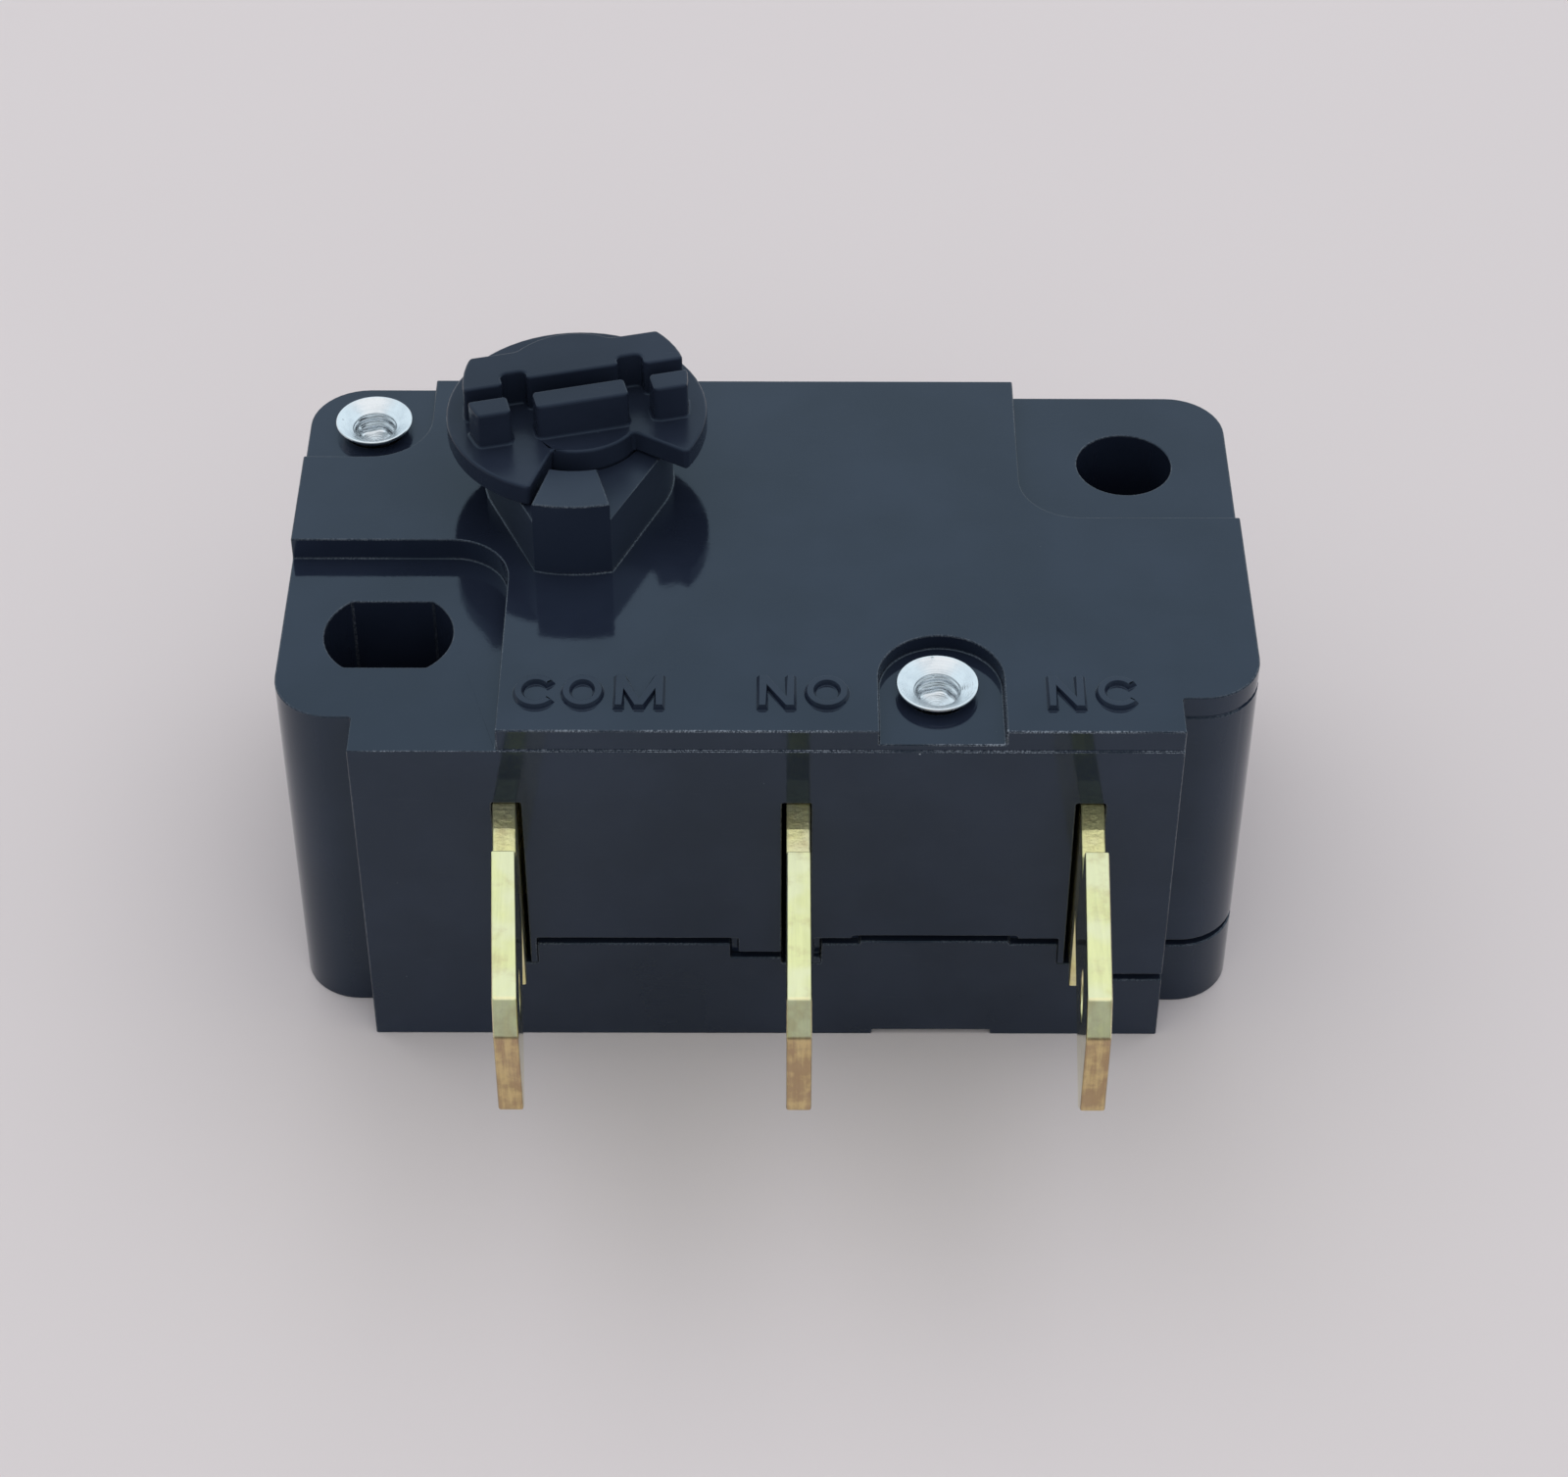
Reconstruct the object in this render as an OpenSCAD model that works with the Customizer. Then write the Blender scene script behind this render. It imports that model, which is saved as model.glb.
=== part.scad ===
// Micro switch: a two-part moulded case held by two tubular rivets, three flat blade
// terminals along the front and a turning knob on top that works a snap-over contact arm.
// Units are millimetres. X runs along the case, Y from the terminals to the back and Z up.
// The origin is the centre of the underside, which is the face the switch lies on.

/* [Case] */
// length of the case along X
body_length = 31.0; // [28:0.1:36]
// depth of the case from the terminal face to the back
body_depth = 17.7; // [16.5:0.1:21]
// height of the case from the underside to the raised top
body_height = 13.65; // [12.8:0.05:17]
// width of each front corner that lies behind the terminal face
corner_width = 2.55; // [2:0.05:3.5]
// how far the front corners lie behind the terminal face
corner_setback = 1.55; // [0.5:0.05:3]
// radius of the upright corners
corner_radius = 1.9; // [0.8:0.1:3]
// thickness of the side walls round the hollow
side_wall = 1.6; // [1:0.1:2.2]
// thickness of the roof under the raised top
roof_wall = 2.0; // [1.6:0.1:2.8]
// how far the raised top lies behind the terminal face
top_inset = 0.07; // [0.05:0.01:0.4]
// depth of the lowered pad round the slotted hole
mount_pad_depth = 0.8; // [0.3:0.05:1.2]
// depth of the lowered pad round the round hole
hole_pad_depth = 0.72; // [0.3:0.01:0.8]
// distance from the slotted hole's centre to the inner edges of its pad
mount_pad_reach = 3.73; // [3.2:0.01:4.2]
// distance from the round hole's centre to the inner edges of its pad
hole_pad_reach = 3.62; // [3.2:0.01:4.2]
// depth of the lowered pad round the front rivet
rivet_pad_depth = 0.55; // [0.2:0.05:1]
// depth of the lowered pad round the rear rivet
rear_pad_depth = 0.42; // [0.2:0.01:1]
// distance from a rivet's centre to the edge of its pad
rivet_pad_reach = 1.96; // [1.7:0.01:2.3]

/* [Cover] */
// height of the seam between case and cover at the sides and the back
seam_height = 2.65; // [2.4:0.05:3.4]
// height of the seam along the terminal face
front_seam_height = 4.3; // [4.2:0.05:5.5]
// height of the lowered stretch of the front seam beside the middle terminal
low_seam_height = 3.66; // [3.6:0.02:4.1]
// length of that lowered stretch
low_seam_length = 1.8; // [0.8:0.05:3]
// how much higher the front seam runs under the front rivet
seam_step = 0.13; // [0.05:0.01:0.3]
// length of that higher stretch
seam_step_length = 4.85; // [4:0.05:5.5]
// height of the cover's sills under the terminals
sill_height = 3.4; // [3:0.05:3.5]
// thickness of the cover's floor under the hollow
cover_floor = 1.5; // [1.2:0.1:1.9]
// height and depth of the groove that shows as the seam
seam_groove = 0.25; // [0.05:0.01:0.3]
// free space between the cover and the case's full-height corner
seam_gap = 0.05; // [0.02:0.01:0.1]
// height of the shallow relief under the front rivet
relief_height = 0.2; // [0.1:0.05:0.3]
// depth of the recesses for the rivets' heads
head_recess_depth = 0.75; // [0.65:0.05:0.95]
// wall left round the mounting holes inside the hollow
hole_wall = 0.9; // [0.7:0.05:1]

/* [Mounting holes] */
// round hole, from the right end of the case
hole_end_distance = 3.53; // [3.1:0.01:4.5]
// round hole, from the back of the case
hole_back_distance = 3.65; // [3.3:0.05:4.2]
// radius of the round hole
hole_radius = 1.58; // [1.3:0.01:1.8]
// slotted hole, from the left end of the case
slot_end_distance = 3.44; // [3.1:0.01:3.7]
// slotted hole, behind the terminal face
slot_y = 5.46; // [5:0.01:6]
// length of the slotted hole between its round ends
slot_length = 4.1; // [3.4:0.05:4.4]
// width of the slotted hole between its flats
slot_width = 3.15; // [2.6:0.05:3.3]

/* [Rivets] */
// rear rivet, from the left end of the case
rear_rivet_end_distance = 2.2; // [2.1:0.05:2.6]
// rear rivet, from the back of the case
rear_rivet_back_distance = 2.2; // [2:0.01:2.7]
// front rivet, from the right end of the case
front_rivet_end_distance = 10.15; // [9.8:0.05:10.5]
// front rivet, behind the terminal face
front_rivet_y = 2.47; // [2.4:0.01:2.7]
// how far the front rivet's pad lies to the right of its rivet and behind it
pad_offset = 0.11; // [0:0.01:0.14]
// radius of a rivet's shank
rivet_radius = 0.95; // [0.8:0.01:1.05]
// outer radius of the flared end
flare_radius = 1.29; // [1.2:0.01:1.6]
// height of the flared end over its pad
flare_height = 0.43; // [0.35:0.01:0.7]
// radius of the tube's mouth in the flared end
mouth_radius = 0.68; // [0.5:0.01:0.75]
// thickness of the flare's rim
flare_rim = 0.08; // [0.05:0.01:0.12]
// depth over which the flare curves into the mouth
flare_dish = 0.36; // [0.2:0.01:0.5]
// depth of the tube below the top of the flare
mouth_depth = 1.0; // [0.8:0.1:3]
// radius of the pressed head underneath
head_radius = 1.6; // [1.3:0.05:1.8]
// height of the pressed head underneath
head_height = 0.55; // [0.4:0.05:0.65]
// free space round a rivet's shank and head
rivet_clear = 0.05; // [0.02:0.01:0.08]
// wall left round the front rivet inside the hollow
rivet_wall = 0.75; // [0.6:0.05:0.85]

/* [Knob] */
// knob axis, from the left end of the case
knob_end_distance = 9.28; // [9:0.01:9.5]
// knob axis, behind the terminal face
knob_y = 12.35; // [12.1:0.01:12.6]
// radius of the round boss on the case that carries the knob
boss_radius = 3.1; // [2.9:0.05:3.4]
// height of the boss over the raised top
boss_height = 2.07; // [1.4:0.01:3]
// radius of the bore through the boss
bore_radius = 2.2; // [2.1:0.01:2.4]
// running clearance of every turning fit, on the radius and along the axis
run_clear = 0.05; // [0.02:0.01:0.08]
// height of the stop tooth over the boss
tooth_height = 0.73; // [0.4:0.01:1]
// inner radius of the stop tooth
tooth_inner_radius = 3.03; // [2.7:0.01:3.3]
// outer radius of the stop tooth
tooth_outer_radius = 4.9; // [4.4:0.01:5.2]
// angle that the stop tooth spans, in degrees
tooth_angle = 29.4; // [20:0.1:34]
// radius of the knob's flange
flange_radius = 4.25; // [4:0.05:4.6]
// thickness of the knob's flange
flange_height = 0.78; // [0.5:0.01:1.2]
// angle at which the flange's notch starts, in degrees
notch_start_angle = -108.5; // [-111:0.1:-107]
// angle that the notch spans, in degrees
notch_angle = 77.5; // [76:0.1:84]
// height of the grip bar over the flange
bar_height = 1.3; // [0.6:0.05:2]
// angle of the grip bar to the case, in degrees
bar_angle = 14.3; // [0:0.1:20]
// radius of the bar's two ends
bar_end_radius = 3.65; // [3.3:0.05:3.9]
// distance from the knob axis to the bar's rear edge
bar_rear = 1.88; // [1.5:0.01:2.1]
// distance from the knob axis to the front of the bar's row of blocks
bar_front = 1.25; // [1:0.01:1.6]
// radius of the round swelling behind the bar
bar_hub_radius = 2.45; // [2.2:0.01:2.8]
// width of the long groove between the bar and the row of blocks
groove_width = 0.58; // [0.3:0.01:0.8]
// distance from the knob axis to the groove's rear wall
groove_rear = 0.2; // [0.05:0.01:0.35]
// extra width of the groove along the middle block
groove_middle = 0.16; // [0:0.01:0.3]
// distance from the knob axis to the middle of each cross slot
cross_slot_x = 1.93; // [1.7:0.01:2.2]
// width of a cross slot
cross_slot_width = 0.8; // [0.4:0.01:1]
// distance from the knob axis to a cross slot's closed end
cross_slot_end = 0.78; // [0.5:0.01:1]
// height of the snap lip under the roof
lip_height = 0.5; // [0.3:0.05:0.7]
// how far the snap lip reaches past the bore
lip_reach = 0.2; // [0.1:0.05:0.3]
// distance from the knob axis to the crank pin
crank_offset = 1.45; // [1.3:0.01:1.5]
// radius of the crank pin
crank_radius = 0.6; // [0.5:0.01:0.65]
// angle of the crank pin at rest, in degrees
crank_angle = 22; // [18:0.5:25]
// length of the crank pin below the lip
crank_length = 5.6; // [4.5:0.1:6]

/* [Terminals] */
// common terminal, from the left end of the case
com_end_distance = 7.32; // [7.2:0.01:7.5]
// normally closed terminal, from the right end of the case
nc_end_distance = 5.28; // [5.1:0.01:5.5]
// thickness of the terminal sheet
sheet = 0.75; // [0.6:0.01:0.9]
// how far the terminals' full height stands out of the case
shoulder_reach = 1.05; // [0.5:0.05:2]
// height of the terminals' upper edge inside the case
neck_top = 10.6; // [10.2:0.05:10.9]
// height of the blade's upper edge
blade_top = 11.9; // [11.4:0.05:12.4]
// width of the blade
blade_width = 4.8; // [4.2:0.1:6.3]
// distance from the terminal face to the blade's shoulder
blade_start = 3.34; // [2.5:0.01:4]
// distance from the terminal face to the blade's tip
blade_reach = 10.3; // [9:0.1:12]
// chamfer of the blade's tip
tip_chamfer = 0.85; // [0.4:0.05:1.2]
// radius of the hole in the blade
blade_hole_radius = 0.8; // [0.6:0.05:1]
// distance from the blade's tip to its hole
blade_hole_back = 3.2; // [2.6:0.1:4]
// angle by which the common blade is bent towards the middle, in degrees
com_blade_angle = 3.7; // [0:0.1:5]
// angle by which the normally closed blade is bent towards the middle, in degrees
nc_blade_angle = 2.7; // [0:0.1:5]
// free space over a terminal, under it and on the side where it lies against its slot
slot_clear = 0.03; // [0.02:0.01:0.1]
// free space on the other side of a terminal
slot_play = 0.14; // [0.1:0.01:0.3]
// free space between a terminal and the cover's front wall
tongue_gap = 0.38; // [0.3:0.01:0.5]

/* [Contacts] */
// height of the middle of the contact parts
contact_height = 7.1; // [6.8:0.05:7.4]
// contacts, from the right end of the case
contact_end_distance = 9.2; // [8.7:0.05:9.5]
// way of the moving contact between the two fixed ones
contact_travel = 1.0; // [0.6:0.05:1.2]
// free space left at a closed contact pair
contact_gap = 0.03; // [0.02:0.01:0.06]
// radius of the contact heads
contact_radius = 0.9; // [0.7:0.05:1.1]
// thickness of a contact head
contact_head = 0.45; // [0.3:0.05:0.5]
// radius of the moving contact's domed faces
dome_radius = 4.5; // [3:0.1:8]
// radius of a contact's shank
contact_shank = 0.45; // [0.3:0.01:0.6]
// radius of the riveted tail behind a fixed contact
tail_radius = 0.75; // [0.6:0.05:0.9]
// thickness of the riveted tail behind a fixed contact
tail_height = 0.25; // [0.1:0.05:0.3]

/* [Snap mechanism] */
// pivot edge of the contact arm, from the left end of the case
arm_pivot_end_distance = 10.55; // [10.3:0.05:10.8]
// pivot edge of the contact arm, behind the terminal face
arm_pivot_y = 7.25; // [7:0.05:7.5]
// distance from the front wall to the common terminal's cross leg
anchor_setback = 1.9; // [1.4:0.05:2.4]
// how far the anchor's prongs reach behind the pivot edge
prong_reach = 0.8; // [0.5:0.05:1]
// depth of the pivot notch in a prong
notch_depth = 0.2; // [0.15:0.01:0.25]
// half the height of the pivot notch at its mouth
notch_half = 0.3; // [0.25:0.01:0.4]
// thickness of the arm's pivot edge
knife = 0.1; // [0.06:0.01:0.12]
// thickness of the contact arm
arm_sheet = 0.5; // [0.3:0.05:0.6]
// width of the contact arm along Z
arm_width = 5.8; // [5:0.1:6.2]
// width of the window for the spring along Z
window_width = 3.0; // [2.6:0.1:3.4]
// cross bar between the window and the hook hole
hook_bar = 0.5; // [0.3:0.05:0.6]
// length of the hook hole
hook_hole = 0.8; // [0.7:0.05:1]
// spring hook on the arm, from the right end of the case
arm_hook_end_distance = 12.35; // [12.1:0.05:12.7]
// lever post, from the right end of the case
lever_post_end_distance = 14.3; // [13.9:0.05:14.7]
// lever post, behind the terminal face
lever_post_y = 12.0; // [11.8:0.05:12.2]
// radius of the lever post
lever_post_radius = 0.7; // [0.5:0.05:0.9]
// wall of the lever's eye
lever_eye_wall = 0.75; // [0.6:0.05:0.9]
// thickness of the lever's beam
lever_beam = 1.2; // [0.9:0.05:1.4]
// width of the lever along Z
lever_width = 6.0; // [5.2:0.1:6.2]
// free space between the crank pin and the lever at rest
lever_gap = 0.04; // [0.03:0.01:0.08]
// spring hook on the lever, from the left end of the case
lever_hook_end_distance = 8.2; // [8:0.05:8.4]
// spring hook on the lever, behind the terminal face
lever_hook_y = 8.05; // [7.9:0.05:8.2]
// width of the lever's tail along X
tail_width = 1.2; // [1:0.05:1.4]
// thickness of each tine of the lever's tail along Z
tine = 0.7; // [0.5:0.05:0.8]
// space between the two tines along Z
tine_space = 1.0; // [0.7:0.05:1.2]
// radius of the hook pin between the tines
hook_pin_radius = 0.35; // [0.25:0.05:0.4]
// diameter of the spring wire
wire = 0.36; // [0.24:0.02:0.4]
// inner radius of the spring's hooks
hook_radius = 0.45; // [0.42:0.01:0.5]
// outer radius of the coil
coil_radius = 0.95; // [0.7:0.05:1.1]
// share of the wire's diameter from one turn to the next
coil_press = 0.9; // [0.8:0.01:0.95]
// number of turns in the coil
coil_turns = 12; // [8:1:16]

/* [Hidden] */
round_facets = 40;
small_facets = 24;
coil_facets = 16;
wire_facets = 8;
// distance that reaches past every outside face
far = body_length + body_depth;
// small overlap of a cut past the face that it opens
past = 0.5;
front_y = -body_depth / 2;
back_y = body_depth / 2;
left_x = -body_length / 2;
right_x = body_length / 2;
front_width = body_length - 2 * corner_width;
pad_level = body_height - mount_pad_depth;
hole_pad_level = body_height - hole_pad_depth;
rivet_level = body_height - rivet_pad_depth;
rear_pad_level = body_height - rear_pad_depth;
roof_level = body_height - roof_wall;
boss_level = body_height + boss_height;
flange_level = boss_level + run_clear;
flange_top = flange_level + flange_height;
bar_top = flange_top + bar_height;
lip_level = roof_level - run_clear - lip_height;
shaft_radius = bore_radius - run_clear;
slot_at = [left_x + slot_end_distance, front_y + slot_y];
hole_at = [right_x - hole_end_distance, back_y - hole_back_distance];
rear_rivet_at = [left_x + rear_rivet_end_distance, back_y - rear_rivet_back_distance];
front_rivet_at = [right_x - front_rivet_end_distance, front_y + front_rivet_y];
rivet_hole_radius = rivet_radius + rivet_clear;
rivet_boss_radius = rivet_hole_radius + rivet_wall;
knob_at = [left_x + knob_end_distance, front_y + knob_y];
com_x = left_x + com_end_distance;
nc_x = right_x - nc_end_distance;
middle_terminal_x = (com_x + nc_x) / 2;
terminal_seat = neck_top + slot_clear;
foot_height = sill_height + slot_clear;
tongue_left = com_x + sheet / 2 + tongue_gap;
tongue_right = nc_x - sheet / 2 - tongue_gap;
front_pad_at = front_rivet_at + [pad_offset, pad_offset];
// the three rest places of the contact parts, seen in plan
contact_x = right_x - contact_end_distance;
arm_pivot_x = left_x + arm_pivot_end_distance;
arm_hook_x = right_x - arm_hook_end_distance;
arm_pivot_at = [arm_pivot_x, front_y + arm_pivot_y];
arm_rest_angle = asin(contact_travel / 2 / (contact_x - arm_pivot_x));
moving_reach = arm_sheet / 2 + contact_head;
no_face_y = arm_pivot_at.y - contact_travel / 2 - moving_reach - contact_gap;
nc_face_y = arm_pivot_at.y + contact_travel / 2 + moving_reach + contact_gap;
no_sheet_y = no_face_y - contact_head - sheet / 2;
nc_sheet_y = nc_face_y + contact_head + sheet / 2;
anchor_x = arm_pivot_x - sheet / 2 + notch_depth - run_clear;
anchor_y = front_y + side_wall + anchor_setback;
// the lever touches the crank pin with its rear face
lever_post_at = [right_x - lever_post_end_distance, front_y + lever_post_y];
lever_hook_at = [left_x + lever_hook_end_distance, front_y + lever_hook_y];
crank_at = knob_at + crank_offset * [cos(crank_angle), sin(crank_angle)];
lever_rear_y = crank_at.y - crank_radius - lever_gap;
lever_bore_radius = lever_post_radius + run_clear;
lever_eye_radius = lever_bore_radius + lever_eye_wall;
lever_base = contact_height - lever_width / 2;
arm_hook_at = arm_pivot_at + (arm_hook_x - arm_pivot_x) * [1, tan(arm_rest_angle)];

// point in plan at a radius and an angle
function polar(radius, angle) = radius * [cos(angle), sin(angle)];

$fn = round_facets;

// block between two opposite corners
module block(low, high) {
    translate(low) cube(high - low);
}

// upright prism of the case's outline, drawn in by inset on every side
module body_prism(low, high, inset = 0) {
    half = body_length / 2 - inset;
    front = front_y + corner_setback + inset;
    back = back_y - inset;
    round_by = corner_radius - inset;
    block([-half + round_by, front, low], [half - round_by, back, high]);
    block([-half, front + round_by, low], [half, back - round_by, high]);
    for (x = [-half + round_by, half - round_by], y = [front + round_by, back - round_by])
        translate([x, y, low]) cylinder(r = round_by, h = high - low);
    block([-front_width / 2 + inset, front_y + inset, low],
          [front_width / 2 - inset, front + corner_radius, high]);
}

// corner region round a hole, open along out and rounded at its inner corner
module corner_region(at, reach, radius, out, low, high) {
    translate([at.x, at.y, low])
        mirror([out.x < 0 ? 1 : 0, 0, 0]) mirror([0, out.y < 0 ? 1 : 0, 0]) {
            block([radius - reach, -reach, 0], [far, far, high - low]);
            block([-reach, radius - reach, 0], [far, far, high - low]);
            translate([radius - reach, radius - reach, 0]) cylinder(r = radius, h = high - low);
        }
}

// region round the slotted hole, where the case reaches down to the underside
module full_corner(low, high, gap = 0) {
    corner_region(slot_at, mount_pad_reach + gap, corner_radius + gap, [-1, -1], low, high);
}

// straight-sided recess round the front rivet, open to the terminal face
module front_recess(low, high) {
    translate([front_pad_at.x, front_pad_at.y, low]) {
        cylinder(r = rivet_pad_reach, h = high - low);
        block([-rivet_pad_reach, -far, 0], [rivet_pad_reach, 0, high - low]);
    }
}

// upright round hole with two flats
module slotted_hole() {
    wide = slot_width / 2;
    height = body_height + 2 * past;
    translate([slot_at.x, slot_at.y, -past]) intersection() {
        cylinder(d = slot_length, h = height);
        block([-slot_length, -wide, 0], [slot_length, wide, height]);
    }
}

// upright round hole from below the underside to above the top
module through_hole(at, radius) {
    translate([at.x, at.y, -past]) cylinder(r = radius, h = body_height + 2 * past);
}

// the round mounting hole and the two rivets' holes, which pass through case and cover alike
module shared_holes() {
    through_hole(hole_at, hole_radius);
    through_hole(rear_rivet_at, rivet_hole_radius);
    through_hole(front_rivet_at, rivet_hole_radius);
}

// openings in the front wall for the terminals, each with its free space on one side
module terminal_slots() {
    half = sheet / 2;
    for (place = [[com_x, slot_clear, slot_play], [middle_terminal_x, slot_play, slot_clear],
                  [nc_x, slot_play, slot_clear]])
        block([place[0] - half - place[1], front_y - past, sill_height],
              [place[0] + half + place[2], front_y + side_wall + past, terminal_seat]);
}

// the hollow that holds the contact parts, clear of the holes and rivets
module hollow() {
    left = slot_at.x + slot_length / 2 + hole_wall;
    right = front_width / 2 - side_wall;
    round_by = hole_radius + hole_wall;
    post = front_rivet_at;
    difference() {
        block([left, front_y + side_wall, cover_floor], [right, back_y - side_wall, roof_level]);
        corner_region(hole_at, round_by, round_by, [1, 1], 0, body_height);
        translate([post.x, post.y, 0]) cylinder(r = rivet_boss_radius, h = body_height);
        block([post.x - rivet_boss_radius, front_y, 0], [post.x + rivet_boss_radius, post.y, body_height]);
    }
}

// stretch of the front wall that belongs to the cover, stepped along its top, with a sill under
// each terminal
module front_tongue(low = seam_height) {
    half = sheet / 2;
    inner = front_y + side_wall;
    low_start = middle_terminal_x - half - low_seam_length;
    step = [front_pad_at.x - seam_step_length / 2, front_pad_at.x + seam_step_length / 2];
    difference() {
        union() {
            block([tongue_left, front_y, low], [tongue_right, inner, front_seam_height]);
            block([step[0], front_y, low], [step[1], inner, front_seam_height + seam_step]);
            block([com_x - half, front_y, low], [nc_x + half + slot_clear, inner, sill_height]);
        }
        block([low_start, front_y - past, low_seam_height],
              [middle_terminal_x, inner + past, body_height]);
        block([middle_terminal_x, front_y - past, sill_height],
              [middle_terminal_x + half + tongue_gap, inner + past, body_height]);
        full_corner(0, body_height);
    }
}

// groove round the outside that shows as the seam, and the groove along the front tongue
module seam_grooves() {
    difference() {
        body_prism(seam_height - past, seam_height + seam_groove);
        body_prism(seam_height - 2 * past, seam_height + past, seam_groove);
        full_corner(seam_height - 2 * past, seam_height + past);
        block([com_x, front_y - past, 0], [nc_x, front_y + side_wall, body_height]);
    }
    intersection() {
        for (x = [-seam_groove, 0, seam_groove]) translate([x, 0, seam_groove]) front_tongue();
        block([tongue_left, front_y - past, low_seam_height],
              [tongue_right, front_y + seam_groove, body_height]);
    }
}

// wedge between two radii, from a start angle over a span, standing on its level
module ring_sector(inner, outer, start, span, height) {
    rotate(start) rotate_extrude(angle = span) translate([inner, 0]) square([outer - inner, height]);
}

// round boss under the knob, drawn forward by two tangent flanks to carry the stop tooth
module knob_boss() {
    height = boss_height + past;
    side = tooth_angle / 2;
    tangent = side + acos(boss_radius / tooth_outer_radius);
    translate([knob_at.x, knob_at.y, body_height - past]) {
        cylinder(r = boss_radius, h = height);
        linear_extrude(height)
            polygon([polar(boss_radius, -90 - tangent), polar(tooth_outer_radius, -90 - side),
                     polar(tooth_outer_radius, -90 + side), polar(boss_radius, -90 + tangent)]);
        ring_sector(tooth_inner_radius, tooth_outer_radius, -90 - side, tooth_angle, height + tooth_height);
    }
}

// stack of straight sheet legs in plan, with a round outside at each bend
module bent_sheet(path, low, high) {
    for (i = [1:len(path) - 1]) {
        way = path[i] - path[i - 1];
        translate([path[i - 1].x, path[i - 1].y, low]) rotate(atan2(way.y, way.x))
            translate([0, -sheet / 2, 0]) cube([norm(way), sheet, high - low]);
        if (i < len(path) - 1)
            translate([path[i].x, path[i].y, low])
                cylinder(r = sheet / 2, h = high - low, $fn = small_facets);
    }
}

// flat blade outside the case with its neck: an upright strip, bent aside at the terminal face,
// cut to the side profile
module blade(x, angle = 0) {
    low = blade_top - blade_width;
    tip = -blade_reach;
    half = sheet / 2;
    side = (blade_reach + past) * tan(angle);
    translate([x, front_y, 0]) difference() {
        intersection() {
            linear_extrude(blade_top + past)
                polygon([[-half, past], [-half, 0], [side - half, tip - past],
                         [side + half, tip - past], [half, 0], [half, past]]);
            translate([-far, 0, 0]) rotate([90, 0, 90]) linear_extrude(2 * far)
                polygon([[past, foot_height], [-shoulder_reach, foot_height], [-shoulder_reach, low],
                         [tip + tip_chamfer, low], [tip, low + tip_chamfer],
                         [tip, blade_top - tip_chamfer], [tip + tip_chamfer, blade_top],
                         [-blade_start, blade_top], [-blade_start, neck_top], [past, neck_top]]);
        }
        translate([-far, tip + blade_hole_back, blade_top - blade_width / 2]) rotate([0, 90, 0])
            cylinder(r = blade_hole_radius, h = 2 * far);
    }
}

// round contact head on a level face at y, pointing along way, with shank and riveted tail
module fixed_contact(face_y, way) {
    translate([contact_x, face_y, contact_height]) rotate([way * 90, 0, 0]) {
        cylinder(r = contact_radius, h = contact_head, $fn = small_facets);
        cylinder(r = contact_shank, h = contact_head + sheet + tail_height, $fn = small_facets);
        translate([0, 0, contact_head + sheet])
            cylinder(r = tail_radius, h = tail_height, $fn = small_facets);
    }
}

// hole through upright sheet for a contact's shank
module contact_hole(y) {
    translate([contact_x, y - sheet, contact_height]) rotate([-90, 0, 0])
        cylinder(r = contact_shank + rivet_clear, h = 2 * sheet, $fn = small_facets);
}

// places what lies along the contact arm at rest: X from the pivot edge, Z from the contact's height
module on_arm() {
    translate([arm_pivot_at.x, arm_pivot_at.y, contact_height]) rotate(arm_rest_angle) children();
}

module case() {
    above = body_height + past;
    color("#2b2e36") difference() {
        union() {
            body_prism(seam_height, pad_level);
            intersection() {
                body_prism(seam_height, body_height);
                translate([0, top_inset, 0]) body_prism(seam_height, body_height);
            }
            intersection() {
                body_prism(0, pad_level);
                full_corner(0, pad_level);
            }
            knob_boss();
        }
        full_corner(pad_level, above);
        corner_region(hole_at, hole_pad_reach, corner_radius, [1, 1], hole_pad_level, above);
        corner_region(rear_rivet_at, rivet_pad_reach, rivet_pad_reach, [-1, 1], rear_pad_level, above);
        front_recess(rivet_level, above);
        hollow();
        front_tongue(seam_height - past);
        seam_grooves();
        terminal_slots();
        slotted_hole();
        shared_holes();
        translate([knob_at.x, knob_at.y, roof_level - past])
            cylinder(r = bore_radius, h = roof_wall + boss_height + 2 * past);
    }
}

module cover() {
    shoulder = lever_base - run_clear;
    color("#24272e") difference() {
        union() {
            difference() {
                union() {
                    body_prism(0, seam_height);
                    front_tongue();
                }
                hollow();
            }
            translate([lever_post_at.x, lever_post_at.y, 0]) {
                cylinder(r = lever_eye_radius, h = shoulder);
                cylinder(r = lever_post_radius, h = roof_level - seam_gap);
            }
        }
        full_corner(-past, body_height, seam_gap);
        terminal_slots();
        shared_holes();
        front_recess(-past, relief_height);
        for (at = [rear_rivet_at, front_rivet_at])
            translate([at.x, at.y, -past])
                cylinder(r = head_radius + rivet_clear, h = head_recess_depth + past);
    }
}

// one tubular rivet, flared over its pad and pressed flat in its recess underneath
module rivet(at, level) {
    top = level + flare_height;
    head = head_recess_depth - head_height;
    edge = head_height / 4;
    flare = flare_radius - flare_rim - mouth_radius;
    trumpet = [for (a = [0:15:90])
                   [mouth_radius + flare * (1 - sin(a)), top - flare_dish * (1 - cos(a))]];
    translate([at.x, at.y, 0]) rotate_extrude()
        polygon(concat([[0, head], [head_radius - edge, head], [head_radius, head + edge],
                        [head_radius, head_recess_depth], [rivet_radius, head_recess_depth],
                        [rivet_radius, level], [flare_radius, top - flare_rim]],
                       trumpet,
                       [[mouth_radius, top - mouth_depth],
                        [0, top - mouth_depth - mouth_radius / 2]]));
}

module rivets() {
    color("#c9ccd0") {
        rivet(rear_rivet_at, rear_pad_level);
        rivet(front_rivet_at, rivet_level);
    }
}

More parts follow.
